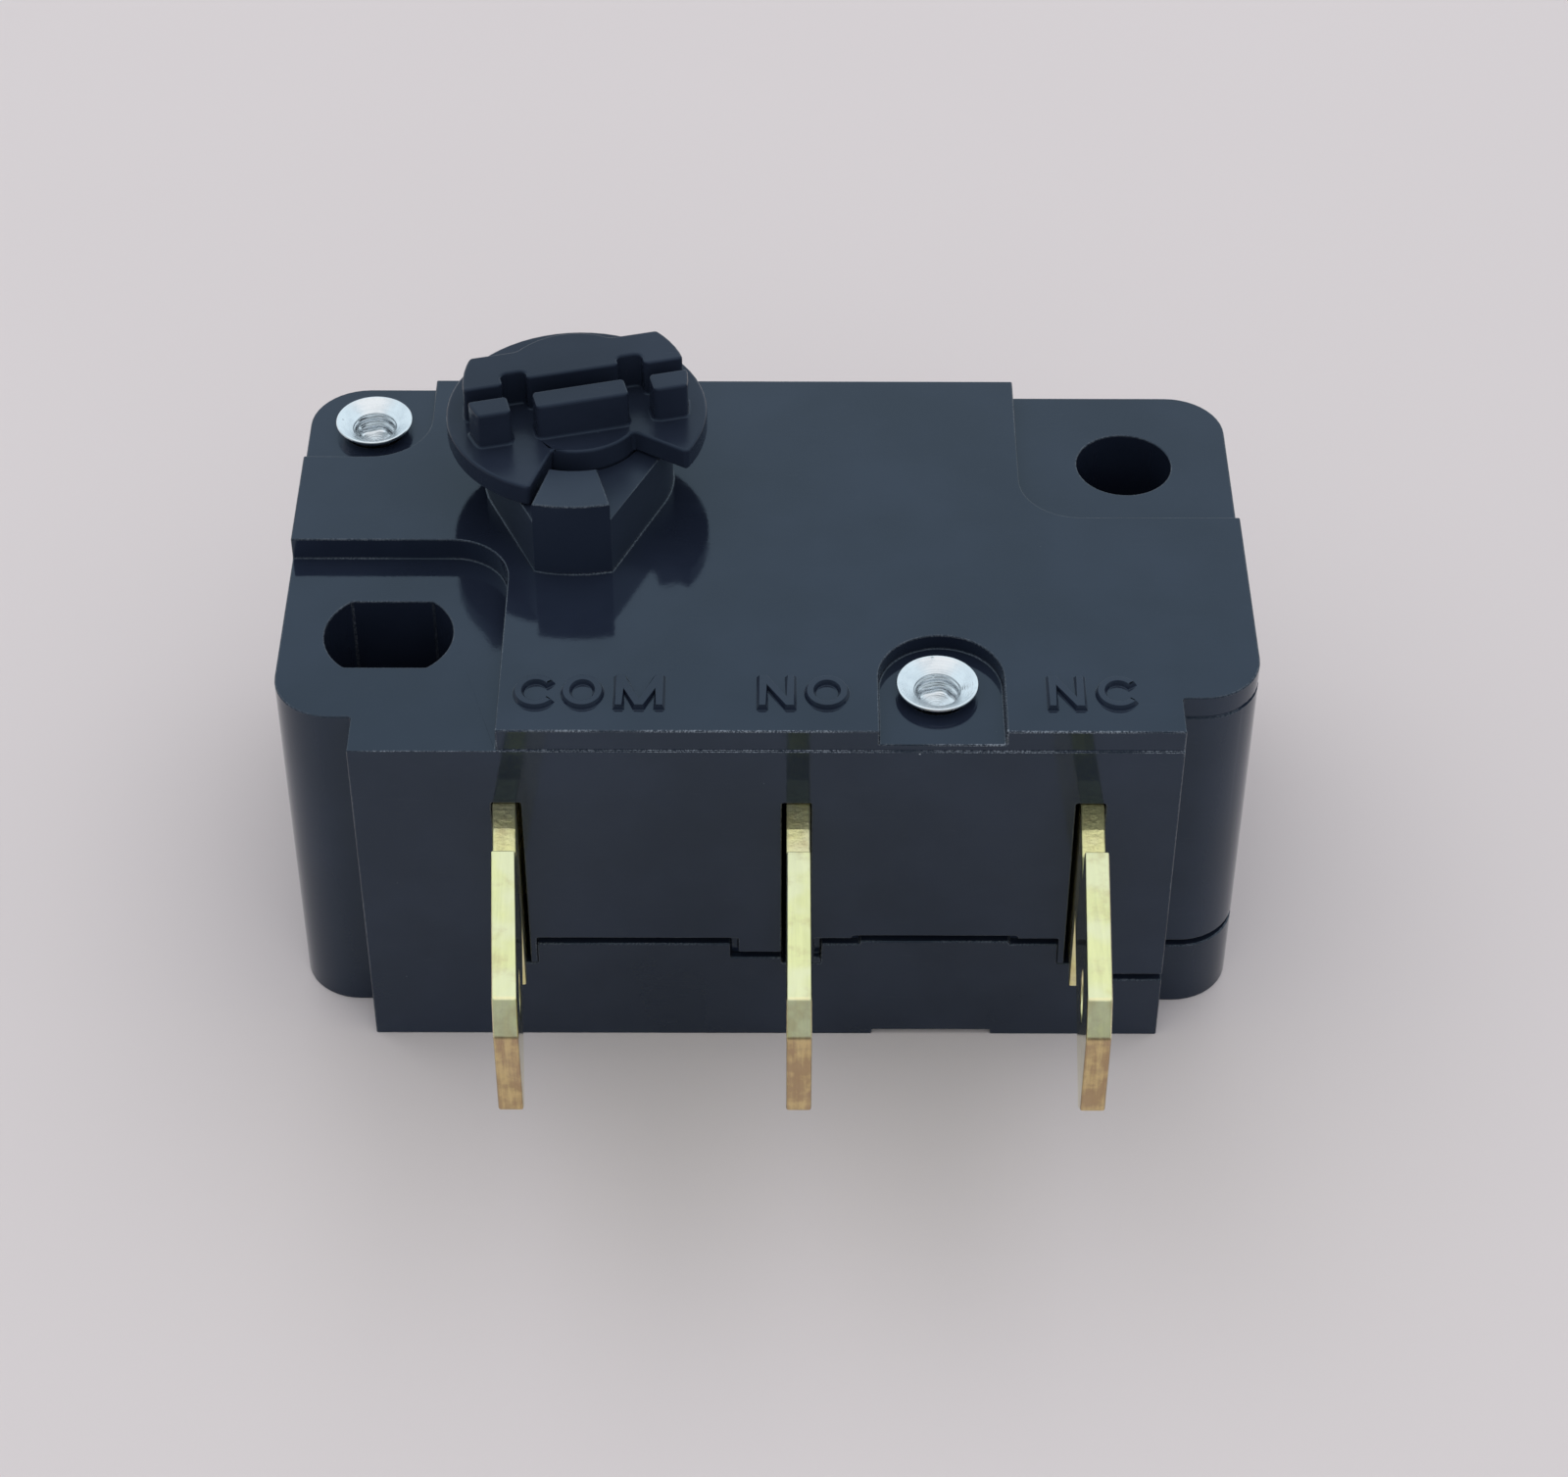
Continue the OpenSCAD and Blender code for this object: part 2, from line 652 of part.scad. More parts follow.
// the bar's row of blocks and its rear part, cut by the long groove and the two cross slots
module grip_bar() {
    height = bar_height + flange_height;
    groove_front = groove_rear - groove_width;
    inner = cross_slot_x - cross_slot_width / 2;
    rotate(bar_angle) difference() {
        union() {
            intersection() {
                cylinder(r = bar_end_radius, h = height);
                block([-far, -bar_front, 0], [far, bar_rear, height]);
            }
            intersection() {
                cylinder(r = bar_hub_radius, h = height);
                block([-far, 0, 0], [far, far, height]);
            }
        }
        block([-far, groove_front, flange_height], [far, groove_rear, height + past]);
        block([-inner, groove_front, flange_height], [inner, groove_rear + groove_middle, height + past]);
        for (x = [-cross_slot_x, cross_slot_x])
            block([x - cross_slot_width / 2, -far, flange_height],
                  [x + cross_slot_width / 2, cross_slot_end, height + past]);
    }
}

module knob() {
    color("#30333b") translate([knob_at.x, knob_at.y, 0]) {
        translate([0, 0, flange_level]) difference() {
            union() {
                cylinder(r = flange_radius, h = flange_height);
                grip_bar();
            }
            translate([0, 0, -past])
                ring_sector(bore_radius, far, notch_start_angle, notch_angle, flange_height + past);
        }
        translate([0, 0, lip_level]) cylinder(r = shaft_radius, h = flange_top - lip_level);
        translate([0, 0, lip_level])
            cylinder(r1 = shaft_radius, r2 = bore_radius + lip_reach, h = lip_height);
        translate([0, 0, lip_level - crank_length]) rotate(crank_angle) translate([crank_offset, 0, 0])
            cylinder(r = crank_radius, h = crank_length + lip_height, $fn = small_facets);
    }
}

module com_terminal() {
    prong_end = arm_pivot_at.y + prong_reach;
    slot_low = contact_height - window_width / 2;
    notch_x = anchor_x + sheet / 2;
    color("#c8a850") {
        difference() {
            bent_sheet([[com_x, front_y], [com_x, anchor_y], [anchor_x, anchor_y], [anchor_x, prong_end]],
                       foot_height, neck_top);
            block([anchor_x - sheet, anchor_y + sheet, slot_low],
                  [anchor_x + sheet, prong_end + past, slot_low + window_width]);
            translate([notch_x, arm_pivot_at.y, foot_height - past]) linear_extrude(body_height)
                polygon([[-notch_depth, 0], [past, -notch_half - past], [past, notch_half + past]]);
        }
        blade(com_x, com_blade_angle);
    }
}

module no_terminal() {
    end_x = contact_x + contact_radius;
    color("#c8a850") {
        difference() {
            bent_sheet([[middle_terminal_x, front_y], [middle_terminal_x, no_sheet_y], [end_x, no_sheet_y]],
                       foot_height, neck_top);
            contact_hole(no_sheet_y);
        }
        blade(middle_terminal_x);
    }
}

module nc_terminal() {
    end_x = contact_x - contact_radius;
    color("#c8a850") {
        difference() {
            bent_sheet([[nc_x, front_y], [nc_x, nc_sheet_y], [end_x, nc_sheet_y]], foot_height, neck_top);
            contact_hole(nc_sheet_y);
        }
        blade(nc_x, -nc_blade_angle);
    }
}

module no_contact() {
    color("#d6d6d2") fixed_contact(no_face_y, 1);
}

module nc_contact() {
    color("#d6d6d2") fixed_contact(nc_face_y, -1);
}

// double-sided contact riveted through the arm, with slightly domed faces
module moving_contact() {
    reach = arm_sheet / 2 + contact_head;
    color("#d6d6d2") on_arm() translate([contact_x - arm_pivot_x, 0, 0]) rotate([90, 0, 0]) {
        cylinder(r = contact_shank, h = arm_sheet + contact_head, center = true, $fn = small_facets);
        for (side = [0, 1]) mirror([0, 0, side]) intersection() {
            translate([0, 0, arm_sheet / 2])
                cylinder(r = contact_radius, h = contact_head, $fn = small_facets);
            translate([0, 0, reach - dome_radius]) sphere(r = dome_radius);
        }
    }
}

// forked arm: two legs stand in the anchor's notches and the spring passes between them
module contact_arm() {
    half = arm_sheet / 2;
    wide = arm_width / 2;
    window = window_width / 2;
    hook = arm_hook_x - arm_pivot_x;
    length = contact_x - arm_pivot_x + contact_radius;
    color("#d3b05c") on_arm() difference() {
        translate([0, 0, -wide]) linear_extrude(arm_width)
            polygon([[0, -knife / 2], [half, -half], [length, -half],
                     [length, half], [half, half], [0, knife / 2]]);
        block([-past, -past, -window], [hook - hook_bar / 2, past, window]);
        block([hook + hook_bar / 2, -past, -wire - hook_bar / 2],
              [hook + hook_bar / 2 + hook_hole, past, wire + hook_bar / 2]);
        translate([contact_x - arm_pivot_x, past, 0]) rotate([90, 0, 0])
            cylinder(r = contact_shank + rivet_clear, h = 2 * past, $fn = small_facets);
    }
}

// moulded lever: eye on the post, beam under the crank pin and a forked tail for the spring
module actuating_lever() {
    tail_left = lever_hook_at.x - tail_width / 2;
    tail_half = tine_space / 2 + tine;
    beam_front = lever_rear_y - lever_beam;
    top = lever_base + lever_width;
    color("#8e949c") difference() {
        union() {
            translate([lever_post_at.x, lever_post_at.y, lever_base])
                cylinder(r = lever_eye_radius, h = lever_width);
            block([tail_left, beam_front, lever_base], [lever_post_at.x, lever_rear_y, top]);
            difference() {
                union() {
                    block([tail_left, lever_hook_at.y, contact_height - tail_half],
                          [tail_left + tail_width, lever_rear_y, contact_height + tail_half]);
                    translate([lever_hook_at.x, lever_hook_at.y, contact_height - tail_half])
                        cylinder(r = tail_width / 2, h = 2 * tail_half, $fn = small_facets);
                }
                block([tail_left - past, lever_hook_at.y - tail_width, contact_height - tine_space / 2],
                      [tail_left + tail_width + past, beam_front - lever_beam,
                       contact_height + tine_space / 2]);
            }
            translate([lever_hook_at.x, lever_hook_at.y, contact_height - tail_half])
                cylinder(r = hook_pin_radius, h = 2 * tail_half, $fn = small_facets);
        }
        translate([lever_post_at.x, lever_post_at.y, lever_base - past])
            cylinder(r = lever_bore_radius, h = lever_width + 2 * past);
    }
}

// close-wound tension spring, its turns drawn as revolved rings, with a round hook at each end
module tension_spring() {
    way = arm_hook_at - lever_hook_at;
    length = norm(way);
    ring = hook_radius + wire / 2;
    pitch = wire * coil_press;
    coil = (coil_turns - 1) * pitch;
    turn = coil_radius - wire / 2;
    color("#b9bcc0") translate([lever_hook_at.x, lever_hook_at.y, contact_height])
            rotate(atan2(way.y, way.x)) {
        for (x = [0, length]) translate([x, 0, 0])
            rotate_extrude($fn = coil_facets) translate([ring, 0]) circle(d = wire, $fn = wire_facets);
        translate([(length - coil) / 2, 0, 0]) rotate([0, 90, 0]) {
            rotate_extrude($fn = coil_facets) for (i = [0:coil_turns - 1])
                translate([turn, i * pitch]) circle(d = wire, $fn = wire_facets);
            for (z = [0, coil]) translate([0, 0, z]) rotate([90, 0, 0])
                cylinder(d = wire, h = turn, $fn = wire_facets);
        }
        for (start = [ring, (length + coil) / 2]) translate([start, 0, 0]) rotate([0, 90, 0])
            cylinder(d = wire, h = (length - coil) / 2 - ring, $fn = wire_facets);
    }
}

case();
cover();
rivets();
knob();
com_terminal();
no_terminal();
nc_terminal();
no_contact();
nc_contact();
moving_contact();
contact_arm();
actuating_lever();
tension_spring();
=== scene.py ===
"""Looks of the micro switch.

Rounded mouldings, turned rivets, raised contact letters, finishes, light and camera.
"""

import logging
import math
from dataclasses import dataclass, field
from enum import Enum
from typing import Any, Mapping, Sequence, Union

import bmesh
import bpy
import numpy as np
from mathutils import Matrix, Vector


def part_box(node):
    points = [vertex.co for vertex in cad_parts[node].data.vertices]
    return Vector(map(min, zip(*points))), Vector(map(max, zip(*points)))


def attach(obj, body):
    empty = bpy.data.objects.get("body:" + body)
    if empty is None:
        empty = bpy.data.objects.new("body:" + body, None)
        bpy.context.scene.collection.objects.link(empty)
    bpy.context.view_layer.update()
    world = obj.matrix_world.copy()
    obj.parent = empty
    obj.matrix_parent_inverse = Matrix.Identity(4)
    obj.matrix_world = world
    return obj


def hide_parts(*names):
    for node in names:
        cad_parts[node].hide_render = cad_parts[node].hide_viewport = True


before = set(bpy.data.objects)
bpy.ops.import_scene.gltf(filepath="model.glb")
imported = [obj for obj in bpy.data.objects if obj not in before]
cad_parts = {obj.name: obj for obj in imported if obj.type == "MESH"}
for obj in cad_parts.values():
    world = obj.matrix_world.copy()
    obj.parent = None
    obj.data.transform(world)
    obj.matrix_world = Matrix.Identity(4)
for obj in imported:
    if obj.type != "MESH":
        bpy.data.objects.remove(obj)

# Lengths are in millimetres and angles in degrees, where no docstring says otherwise.
MM = 0.001
IMAGE_WIDTH = 1600
SMOOTH_ANGLE = 35.0
NOISE_MIDDLE = 0.5
PLASTIC_IOR = 1.5
LOG = logging.getLogger("micro_switch")

Pair = tuple[float, float]
Place = tuple[float, float, float]
Colour = tuple[float, float, float]
Operand = Union["Signal", int, float]

PLASTIC_SHEEN: Colour = (0.61, 0.80, 0.98)
RIVET_CENTRES: tuple[Pair, ...] = ((-13.30, 6.65), (5.35, -6.38))
TERMINALS = ("com_terminal", "no_terminal", "nc_terminal")
BLADE_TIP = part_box(TERMINALS[0])[0].y / MM


class Body(str, Enum):
    """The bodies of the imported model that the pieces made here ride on."""

    HOUSING = "housing"
    KNOB = "turning_knob"


class Letter(Enum):
    """The letters of the contact marks."""

    C = "C"
    O = "O"
    M = "M"
    N = "N"


@dataclass(frozen=True)
class Cloud:
    """Cloudy noise, with its waves in a unit of the coordinates and the two ends of its soft step."""

    waves: float
    detail: float = 2.0
    rough: float = 0.5
    low: float = 0.3
    high: float = 0.7


class Signal:
    """One output socket of a shader node, with arithmetic that adds Math nodes."""

    def __init__(self, board: "Board", socket: bpy.types.NodeSocket) -> None:
        """Keeps the socket and the board that it is on."""
        self.board = board
        self.socket = socket

    def _math(self, operation: str, *others: Operand, swap: bool = False) -> "Signal":
        """Adds a Math node.

        Args:
            operation: the Math node's operation.
            others: the values or signals that join this one.
            swap: True puts this signal behind the first of the others.

        Returns:
            The node's result.
        """
        values = [self, *others]
        if swap:
            values[0], values[1] = values[1], values[0]
        sockets = dict(enumerate(values))
        return self.board.node("ShaderNodeMath", {"operation": operation}, sockets).out("Value")

    def __add__(self, other: Operand) -> "Signal":
        """This plus the other."""
        return self._math("ADD", other)

    __radd__ = __add__

    def __sub__(self, other: Operand) -> "Signal":
        """This less the other."""
        return self._math("SUBTRACT", other)

    def __rsub__(self, other: float) -> "Signal":
        """The other less this."""
        return self._math("SUBTRACT", other, swap=True)

    def __mul__(self, other: Operand) -> "Signal":
        """This times the other."""
        return self._math("MULTIPLY", other)

    __rmul__ = __mul__

    def __abs__(self) -> "Signal":
        """This without its sign."""
        return self._math("ABSOLUTE")

    def above(self, limit: float) -> "Signal":
        """One where this lies above the limit, and zero elsewhere."""
        return self._math("GREATER_THAN", limit)

    def larger(self, other: Operand) -> "Signal":
        """The larger of this and the other."""
        return self._math("MAXIMUM", other)

    def smaller(self, other: Operand) -> "Signal":
        """The smaller of this and the other."""
        return self._math("MINIMUM", other)

    def ramp(self, low: float, high: float) -> "Signal":
        """A soft step from zero where this is low to one where it is high."""
        sockets = {"Value": self, "From Min": low, "From Max": high}
        settings = {"interpolation_type": "SMOOTHSTEP"}
        return self.board.node("ShaderNodeMapRange", settings, sockets).out("Result")

    def stepped(self, cloud: Cloud) -> "Signal":
        """This after a cloud's soft step."""
        return self.ramp(cloud.low, cloud.high)


class Placed:
    """A node that stands on a board."""

    def __init__(self, board: "Board", node: bpy.types.Node) -> None:
        """Keeps the node and its board."""
        self.board = board
        self.node = node

    def out(self, name: Union[str, int]) -> Signal:
        """The output socket of that name or number."""
        return Signal(self.board, self.node.outputs[name])


class Board:
    """A shader's node tree, with one method that adds any node."""

    def __init__(self, tree: bpy.types.NodeTree) -> None:
        """Empties the tree and keeps it."""
        tree.nodes.clear()
        self.tree = tree

    def node(
        self,
        kind: str,
        settings: Mapping[str, Any] | None = None,
        sockets: Mapping[Union[str, int], Any] | None = None,
    ) -> Placed:
        """Adds one node.

        Args:
            kind: the node's type.
            settings: its settings, set first.
            sockets: values or signals of its input sockets, by name or number.

        Returns:
            The node on this board.
        """
        made = self.tree.nodes.new(kind)
        for name, value in (settings or {}).items():
            setattr(made, name, value)
        for name, value in (sockets or {}).items():
            socket = made.inputs[name]
            if isinstance(value, Signal):
                self.tree.links.new(value.socket, socket)
            elif socket.type == "RGBA":
                socket.default_value = (*value, 1.0)
            else:
                socket.default_value = value
        return Placed(self, made)

    def millimetres(self) -> Signal:
        """The object's own coordinates in millimetres."""
        place = self.node("ShaderNodeTexCoord").out("Object")
        sockets = {0: place, "Scale": 1 / MM}
        return self.node("ShaderNodeVectorMath", {"operation": "SCALE"}, sockets).out("Vector")

    def stretched(self, place: Signal, scale: Sequence[float], turn: float = 0.0) -> Signal:
        """Coordinates turned about the upright axis and stretched along each axis.

        Args:
            place: the coordinates.
            scale: the factor along each axis.
            turn: the angle in degrees.

        Returns:
            The new coordinates.
        """
        sockets = {"Vector": place, "Rotation": (0.0, 0.0, math.radians(turn)), "Scale": tuple(scale)}
        return self.node("ShaderNodeMapping", None, sockets).out("Vector")

    def compared(self, operation: str, place: Signal, fixed: Sequence[float]) -> Signal:
        """The number that a Vector Math node works out from coordinates and a fixed vector."""
        sockets = {0: place, 1: tuple(fixed)}
        return self.node("ShaderNodeVectorMath", {"operation": operation}, sockets).out("Value")

    def part(self, place: Signal, axis: str) -> Signal:
        """One of the three numbers of a vector."""
        return self.node("ShaderNodeSeparateXYZ", None, {0: place}).out(axis)

    def noise(self, place: Signal, cloud: Cloud) -> Signal:
        """A cloud's noise before its soft step."""
        sockets = {"Vector": place, "Scale": cloud.waves, "Detail": cloud.detail, "Roughness": cloud.rough}
        return self.node("ShaderNodeTexNoise", None, sockets).out(0)

    def cloud(self, place: Signal, cloud: Cloud) -> Signal:
        """A cloud's noise after its soft step."""
        return self.noise(place, cloud).stepped(cloud)

    def blend(self, amount: Signal, first: Union[Signal, Colour], second: Union[Signal, Colour]) -> Signal:
        """A mix of two colours, which are the node's sockets 6 and 7, by an amount from zero to one."""
        sockets = {0: amount, 6: first, 7: second}
        return self.node("ShaderNodeMix", {"data_type": "RGBA"}, sockets).out(2)

    def specks(self, place: Signal, spacing: float, radius: float, share: float, core: float = 0.4) -> Signal:
        """Round specks, one where each cell of the given spacing draws a lot.

        Args:
            place: the coordinates.
            spacing: the cells' width.
            radius: the specks' radius.
            share: the share of cells that have one.
            core: the share of the radius inside which a speck is whole.

        Returns:
            One at a speck's middle, zero outside.
        """
        sockets = {"Vector": place, "Scale": 1 / spacing}
        cells = self.node("ShaderNodeTexVoronoi", {"feature": "F1"}, sockets)
        lot = self.node("ShaderNodeSeparateColor", None, {0: cells.out("Color")}).out("Red")
        reach = cells.out("Distance") * (spacing / radius)
        return (1.0 - reach.ramp(core, 1.0)) * lot.above(1.0 - share)

    def surface(self, sockets: Mapping[str, Any], height: Signal, depth: float) -> None:
        """Ends the board in a principled surface with a bump.

        Args:
            sockets: the surface's values and signals.
            height: the bump's height from zero to one.
            depth: the bump's depth in millimetres.
        """
        relief = {"Strength": 1.0, "Distance": depth * MM, "Height": height}
        bump = self.node("ShaderNodeBump", None, relief)
        inputs = {**sockets, "Normal": bump.out("Normal")}
        shader = self.node("ShaderNodeBsdfPrincipled", None, inputs).out("BSDF")
        self.node("ShaderNodeOutputMaterial", None, {"Surface": shader})


def new_material(name: str) -> tuple[bpy.types.Material, Board]:
    """A material of that name and its empty board."""
    material = bpy.data.materials.new(name)
    material.use_nodes = True
    return material, Board(material.node_tree)


@dataclass(frozen=True)
class MouldedPlastic:
    """Glossy moulded plastic with cloudy flow, faint rubbing and dust of a given spacing and radius."""

    name: str
    colour: Colour
    roughness: float
    dust_share: float = 0.14
    dust_colour: Colour = (0.32, 0.35, 0.39)
    dust_height: float = 2.0
    coarse_dust: Pair = (2.4, 0.04)
    fine_dust: Pair = (0.9, 0.016)
    fine_weight: float = 0.6
    grain: Cloud = Cloud(7.0, 3.0, 0.6)
    grain_depth: float = 0.0012
    flow: Cloud = Cloud(0.22, 3.0)
    flow_gain: float = 1.35
    flow_lift: float = 0.001
    haze: Cloud = Cloud(1.6, 4.0, 0.65, 0.35, 0.75)
    scratches: Cloud = Cloud(1.0, 1.0)
    scratch_stretch: Place = (0.25, 5.0, 5.0)
    scratch_turn: float = 24.0
    scratch_width: float = 0.012
    rub: float = 0.1
    rub_pale: float = 0.1
    sheen: Colour = PLASTIC_SHEEN
    gloss: float = 0.53
    satin_above: float = 99.0
    satin_fade: float = 0.05
    satin: float = 0.26
    rough_by_flow: float = 0.02
    rough_by_haze: float = 0.03
    rough_by_dust: float = 0.25
    rough_by_rubs_and_glints: float = 0.3

    def make(self) -> bpy.types.Material:
        """The material with its nodes."""
        material, board = new_material(self.name)
        place = board.millimetres()
        flow = board.cloud(place, self.flow)
        haze = board.cloud(place, self.haze)
        dust = board.specks(place, *self.coarse_dust, self.dust_share)
        fine = board.specks(place, *self.fine_dust, self.dust_share)
        dust = dust.larger(fine * self.fine_weight)
        across = board.stretched(place, self.scratch_stretch, self.scratch_turn)
        lines = abs(board.noise(across, self.scratches) - NOISE_MIDDLE)
        # Here the mask holds only pale rub marks along scratches, with no painted light.
        rubs_and_painted_glints = (1.0 - lines.ramp(0.0, self.scratch_width)) * haze * self.rub
        light = tuple(self.flow_gain * value + self.flow_lift for value in self.colour)
        body = board.blend(flow, self.colour, light)
        colour = board.blend(dust.larger(rubs_and_painted_glints * self.rub_pale), body, self.dust_colour)
        raised = board.part(place, "Z").ramp(self.satin_above, self.satin_above + self.satin_fade)
        rough = self.roughness + self.rough_by_flow * flow + self.rough_by_haze * haze
        rough = rough + self.rough_by_dust * dust + self.rough_by_rubs_and_glints * rubs_and_painted_glints + self.satin * raised
        sockets = {
            "Base Color": colour, "Roughness": rough, "IOR": PLASTIC_IOR,
            "Specular IOR Level": self.gloss, "Specular Tint": self.sheen,
        }
        relief = board.noise(place, self.grain) + self.dust_height * dust
        board.surface(sockets, relief, self.grain_depth)
        return material


@dataclass(frozen=True)
class PaintedHighlightEdge:
    """A moulding's rounded edge with pale dots along some stretches: a painted highlight for the glints that
    light catches on its edges.
    """

    name: str
    colour: Colour
    # Colour of the painted edge highlight.
    pale: Colour = (0.29, 0.32, 0.37)
    sheen: Colour = PLASTIC_SHEEN
    roughness: float = 0.14
    rough_by_rubs_and_glints: float = 0.3
    amount: float = 0.2
    front_y: float = -8.6
    front_z: float = 12.65
    front_fade: float = 0.1
    front_amount: float = 0.7
    stretches: Cloud = Cloud(0.32, high=0.58)
    dots: Cloud = Cloud(18.0, 2.0, 0.6, 0.38, 0.66)
    dot_depth: float = 0.002

    def make(self) -> bpy.types.Material:
        """The material with its nodes, its painted highlight strongest along the top edges above the
        terminals.
        """
        material, board = new_material(self.name)
        place = board.millimetres()
        dots = board.cloud(place, self.dots)
        # The painted highlight is strongest along the front top edges, where light glints most.
        front = 1.0 - board.part(place, "Y").ramp(self.front_y - self.front_fade, self.front_y)
        front = front * board.part(place, "Z").ramp(self.front_z, self.front_z + self.front_fade)
        amount = self.amount + (self.front_amount - self.amount) * front
        # Pale dots painted along the edges: painted highlight standing in for edge glints.
        rubs_and_painted_glints = dots * board.cloud(place, self.stretches) * amount
        sockets = {
            "Base Color": board.blend(rubs_and_painted_glints, self.colour, self.pale),
            "Roughness": self.roughness + self.rough_by_rubs_and_glints * rubs_and_painted_glints,
            "IOR": PLASTIC_IOR, "Specular Tint": self.sheen,
        }
        board.surface(sockets, dots, self.dot_depth)
        return material


@dataclass(frozen=True)
class StampedBrass:
    """Pale stamped brass: mirror-smooth rolled sides, streaked sheared edges, brown end faces.

    The tip and the neck are places along Y, and a reach counts from the tip. A stain is a share of tarnish.
    """

    name: str
    colour: Colour = (1.0, 0.93, 0.47)
    tan: Colour = (0.66, 0.50, 0.25)
    brown: Colour = (0.40, 0.25, 0.15)
    ivory: Colour = (1.0, 0.93, 0.64)
    ivory_share: float = 0.55
    tip: float = -99.0
    end_reach: Pair = (0.03, 0.1)
    chamfer_reach: Pair = (0.75, 0.95)
    neck: float = 99.0
    neck_fade: float = 0.1
    coin_length: float = 1.1
    coin_slope: float = 0.26
    relief_depth: float = 0.02
    rolled_facing: Pair = (0.6, 0.9)
    rolled_calm: float = 0.95
    rolled_roughness: float = 0.12
    sheared_roughness: float = 0.34
    rough_by_stain: float = 0.1
    rough_by_neck: float = 0.12
    streaks: Cloud = Cloud(1.0, 4.0, 0.65)
    streak_stretch: Place = (6.0, 0.45, 0.45)
    streak_shade: float = 0.88
    grain: Cloud = Cloud(5.0, 3.0, 0.6, 0.5, 0.75)
    grain_height: float = 1.5
    patches: Cloud = Cloud(1.3, 4.0, 0.6, 0.5, 0.75)
    blotches: Cloud = Cloud(0.5, 3.0, 0.6, 0.42, 0.62)
    patch_stain: float = 0.42
    chamfer_stain: float = 0.5
    chamfer_step: Pair = (0.4, 0.7)
    end_stain: Pair = (0.75, 0.25)
    neck_stain: float = 0.3
    tan_mix: Pair = (0.35, 0.65)
    tan_step: Pair = (0.42, 0.6)

    def near_tip(self, along: Signal, reach: Pair) -> Signal:
        """One at the tip, and zero beyond that reach from it."""
        return 1.0 - along.ramp(self.tip + reach[0], self.tip + reach[1])

    def make(self) -> bpy.types.Material:
        """The material with its nodes."""
        material, board = new_material(self.name)
        place = board.millimetres()
        streaks = board.noise(board.stretched(place, self.streak_stretch), self.streaks)
        grain = board.noise(place, self.grain)
        patches = board.noise(place, self.patches)
        facing = board.node("ShaderNodeTexCoord").out("Normal")
        rolled = abs(board.part(facing, "X")).ramp(*self.rolled_facing)
        along = board.part(place, "Y")
        end_face = self.near_tip(along, self.end_reach)
        chamfer = self.near_tip(along, self.chamfer_reach)
        neck = along.ramp(self.neck - self.neck_fade, self.neck)
        tarnish = patches.stepped(self.patches) * self.patch_stain
        tarnish = tarnish.larger(chamfer * patches.ramp(*self.chamfer_step) * self.chamfer_stain)
        tarnish = tarnish.larger(end_face * (self.end_stain[0] + self.end_stain[1] * patches))
        tarnish = tarnish.larger(neck * grain.stepped(self.grain) * self.neck_stain)
        deep = tuple(self.streak_shade * value for value in self.colour)
        metal = board.blend(streaks.stepped(self.streaks), deep, self.colour)
        metal = board.blend(self.ivory_share * board.cloud(place, self.blotches), metal, self.ivory)
        mixed = self.tan_mix[0] * streaks + self.tan_mix[1] * patches
        stain = board.blend(mixed.ramp(*self.tan_step), self.brown, self.tan)
        rough = self.sheared_roughness - (self.sheared_roughness - self.rolled_roughness) * rolled
        rough = rough + self.rough_by_stain * tarnish + self.rough_by_neck * neck
        sockets = {"Base Color": board.blend(tarnish, metal, stain), "Roughness": rough, "Metallic": 1.0}
        coined = (along - self.neck).larger(0.0).smaller(self.coin_length)
        coined = coined * (self.coin_slope / self.relief_depth)
        relief = (streaks + self.grain_height * neck * grain + coined) * (1.0 - self.rolled_calm * rolled)
        board.surface(sockets, relief, self.relief_depth)
        return material


@dataclass(frozen=True)
class TurnedMetal:
    """Bright metal with fine rings about the nearest of its upright centres and cloudy dulling.

    The nicks' three numbers are the spacing, the radius and the share of cells that have one.
    """

    name: str
    colour: Colour
    dull: Colour
    roughness: float
    centres: tuple[Pair, ...] = ((0.0, 0.0),)
    rings: float = 14.0
    ring_noise: Cloud = Cloud(1.0, 3.0, 0.6, 0.35)
    depth: float = 0.009
    clouds: Cloud = Cloud(1.8, 4.0, 0.6, 0.4, 0.75)
    cloud_share: float = 0.7
    nicks: Place = (0.35, 0.05, 0.2)
    rough_by_cloud: float = 0.12
    rough_by_ring: float = 0.1

    def make(self) -> bpy.types.Material:
        """The material with its nodes."""
        material, board = new_material(self.name)
        place = board.millimetres()
        flat = board.stretched(place, (1.0, 1.0, 0.0))
        reach: Signal | None = None
        for x, y in self.centres:
            distance = board.compared("DISTANCE", flat, (x, y, 0.0))
            reach = distance if reach is None else reach.smaller(distance)
        sockets = {"X": reach * self.rings, "Z": board.part(place, "Z") * self.rings}
        along = board.node("ShaderNodeCombineXYZ", None, sockets).out("Vector")
        rings = board.noise(along, self.ring_noise)
        clouds = board.cloud(place, self.clouds)
        nicks = board.specks(place, *self.nicks)
        colour = board.blend((self.cloud_share * clouds).larger(nicks), self.colour, self.dull)
        rough = self.roughness + self.rough_by_cloud * clouds
        rough = rough + self.rough_by_ring * rings.stepped(self.ring_noise)
        sockets = {"Base Color": colour, "Roughness": rough, "Metallic": 1.0}
        board.surface(sockets, rings - nicks, self.depth)
        return material


Finish = Union[MouldedPlastic, PaintedHighlightEdge, StampedBrass, TurnedMetal]


def grid_faces(rows: int, columns: int) -> np.ndarray:
    """Quads of a grid whose columns close in a ring: corners (i, j), (i, j+1), (i+1, j+1), (i+1, j).

    Args:
        rows: the number of rings.
        columns: the points in a ring.

    Returns:
        The quads' corner numbers, one row each.
    """
    ring, step = np.meshgrid(np.arange(rows - 1) * columns, np.arange(columns), indexing="ij")
    after = (step + 1) % columns
    corners = (ring + step, ring + after, ring + columns + after, ring + columns + step)
    return np.stack([corner.ravel() for corner in corners], axis=1)


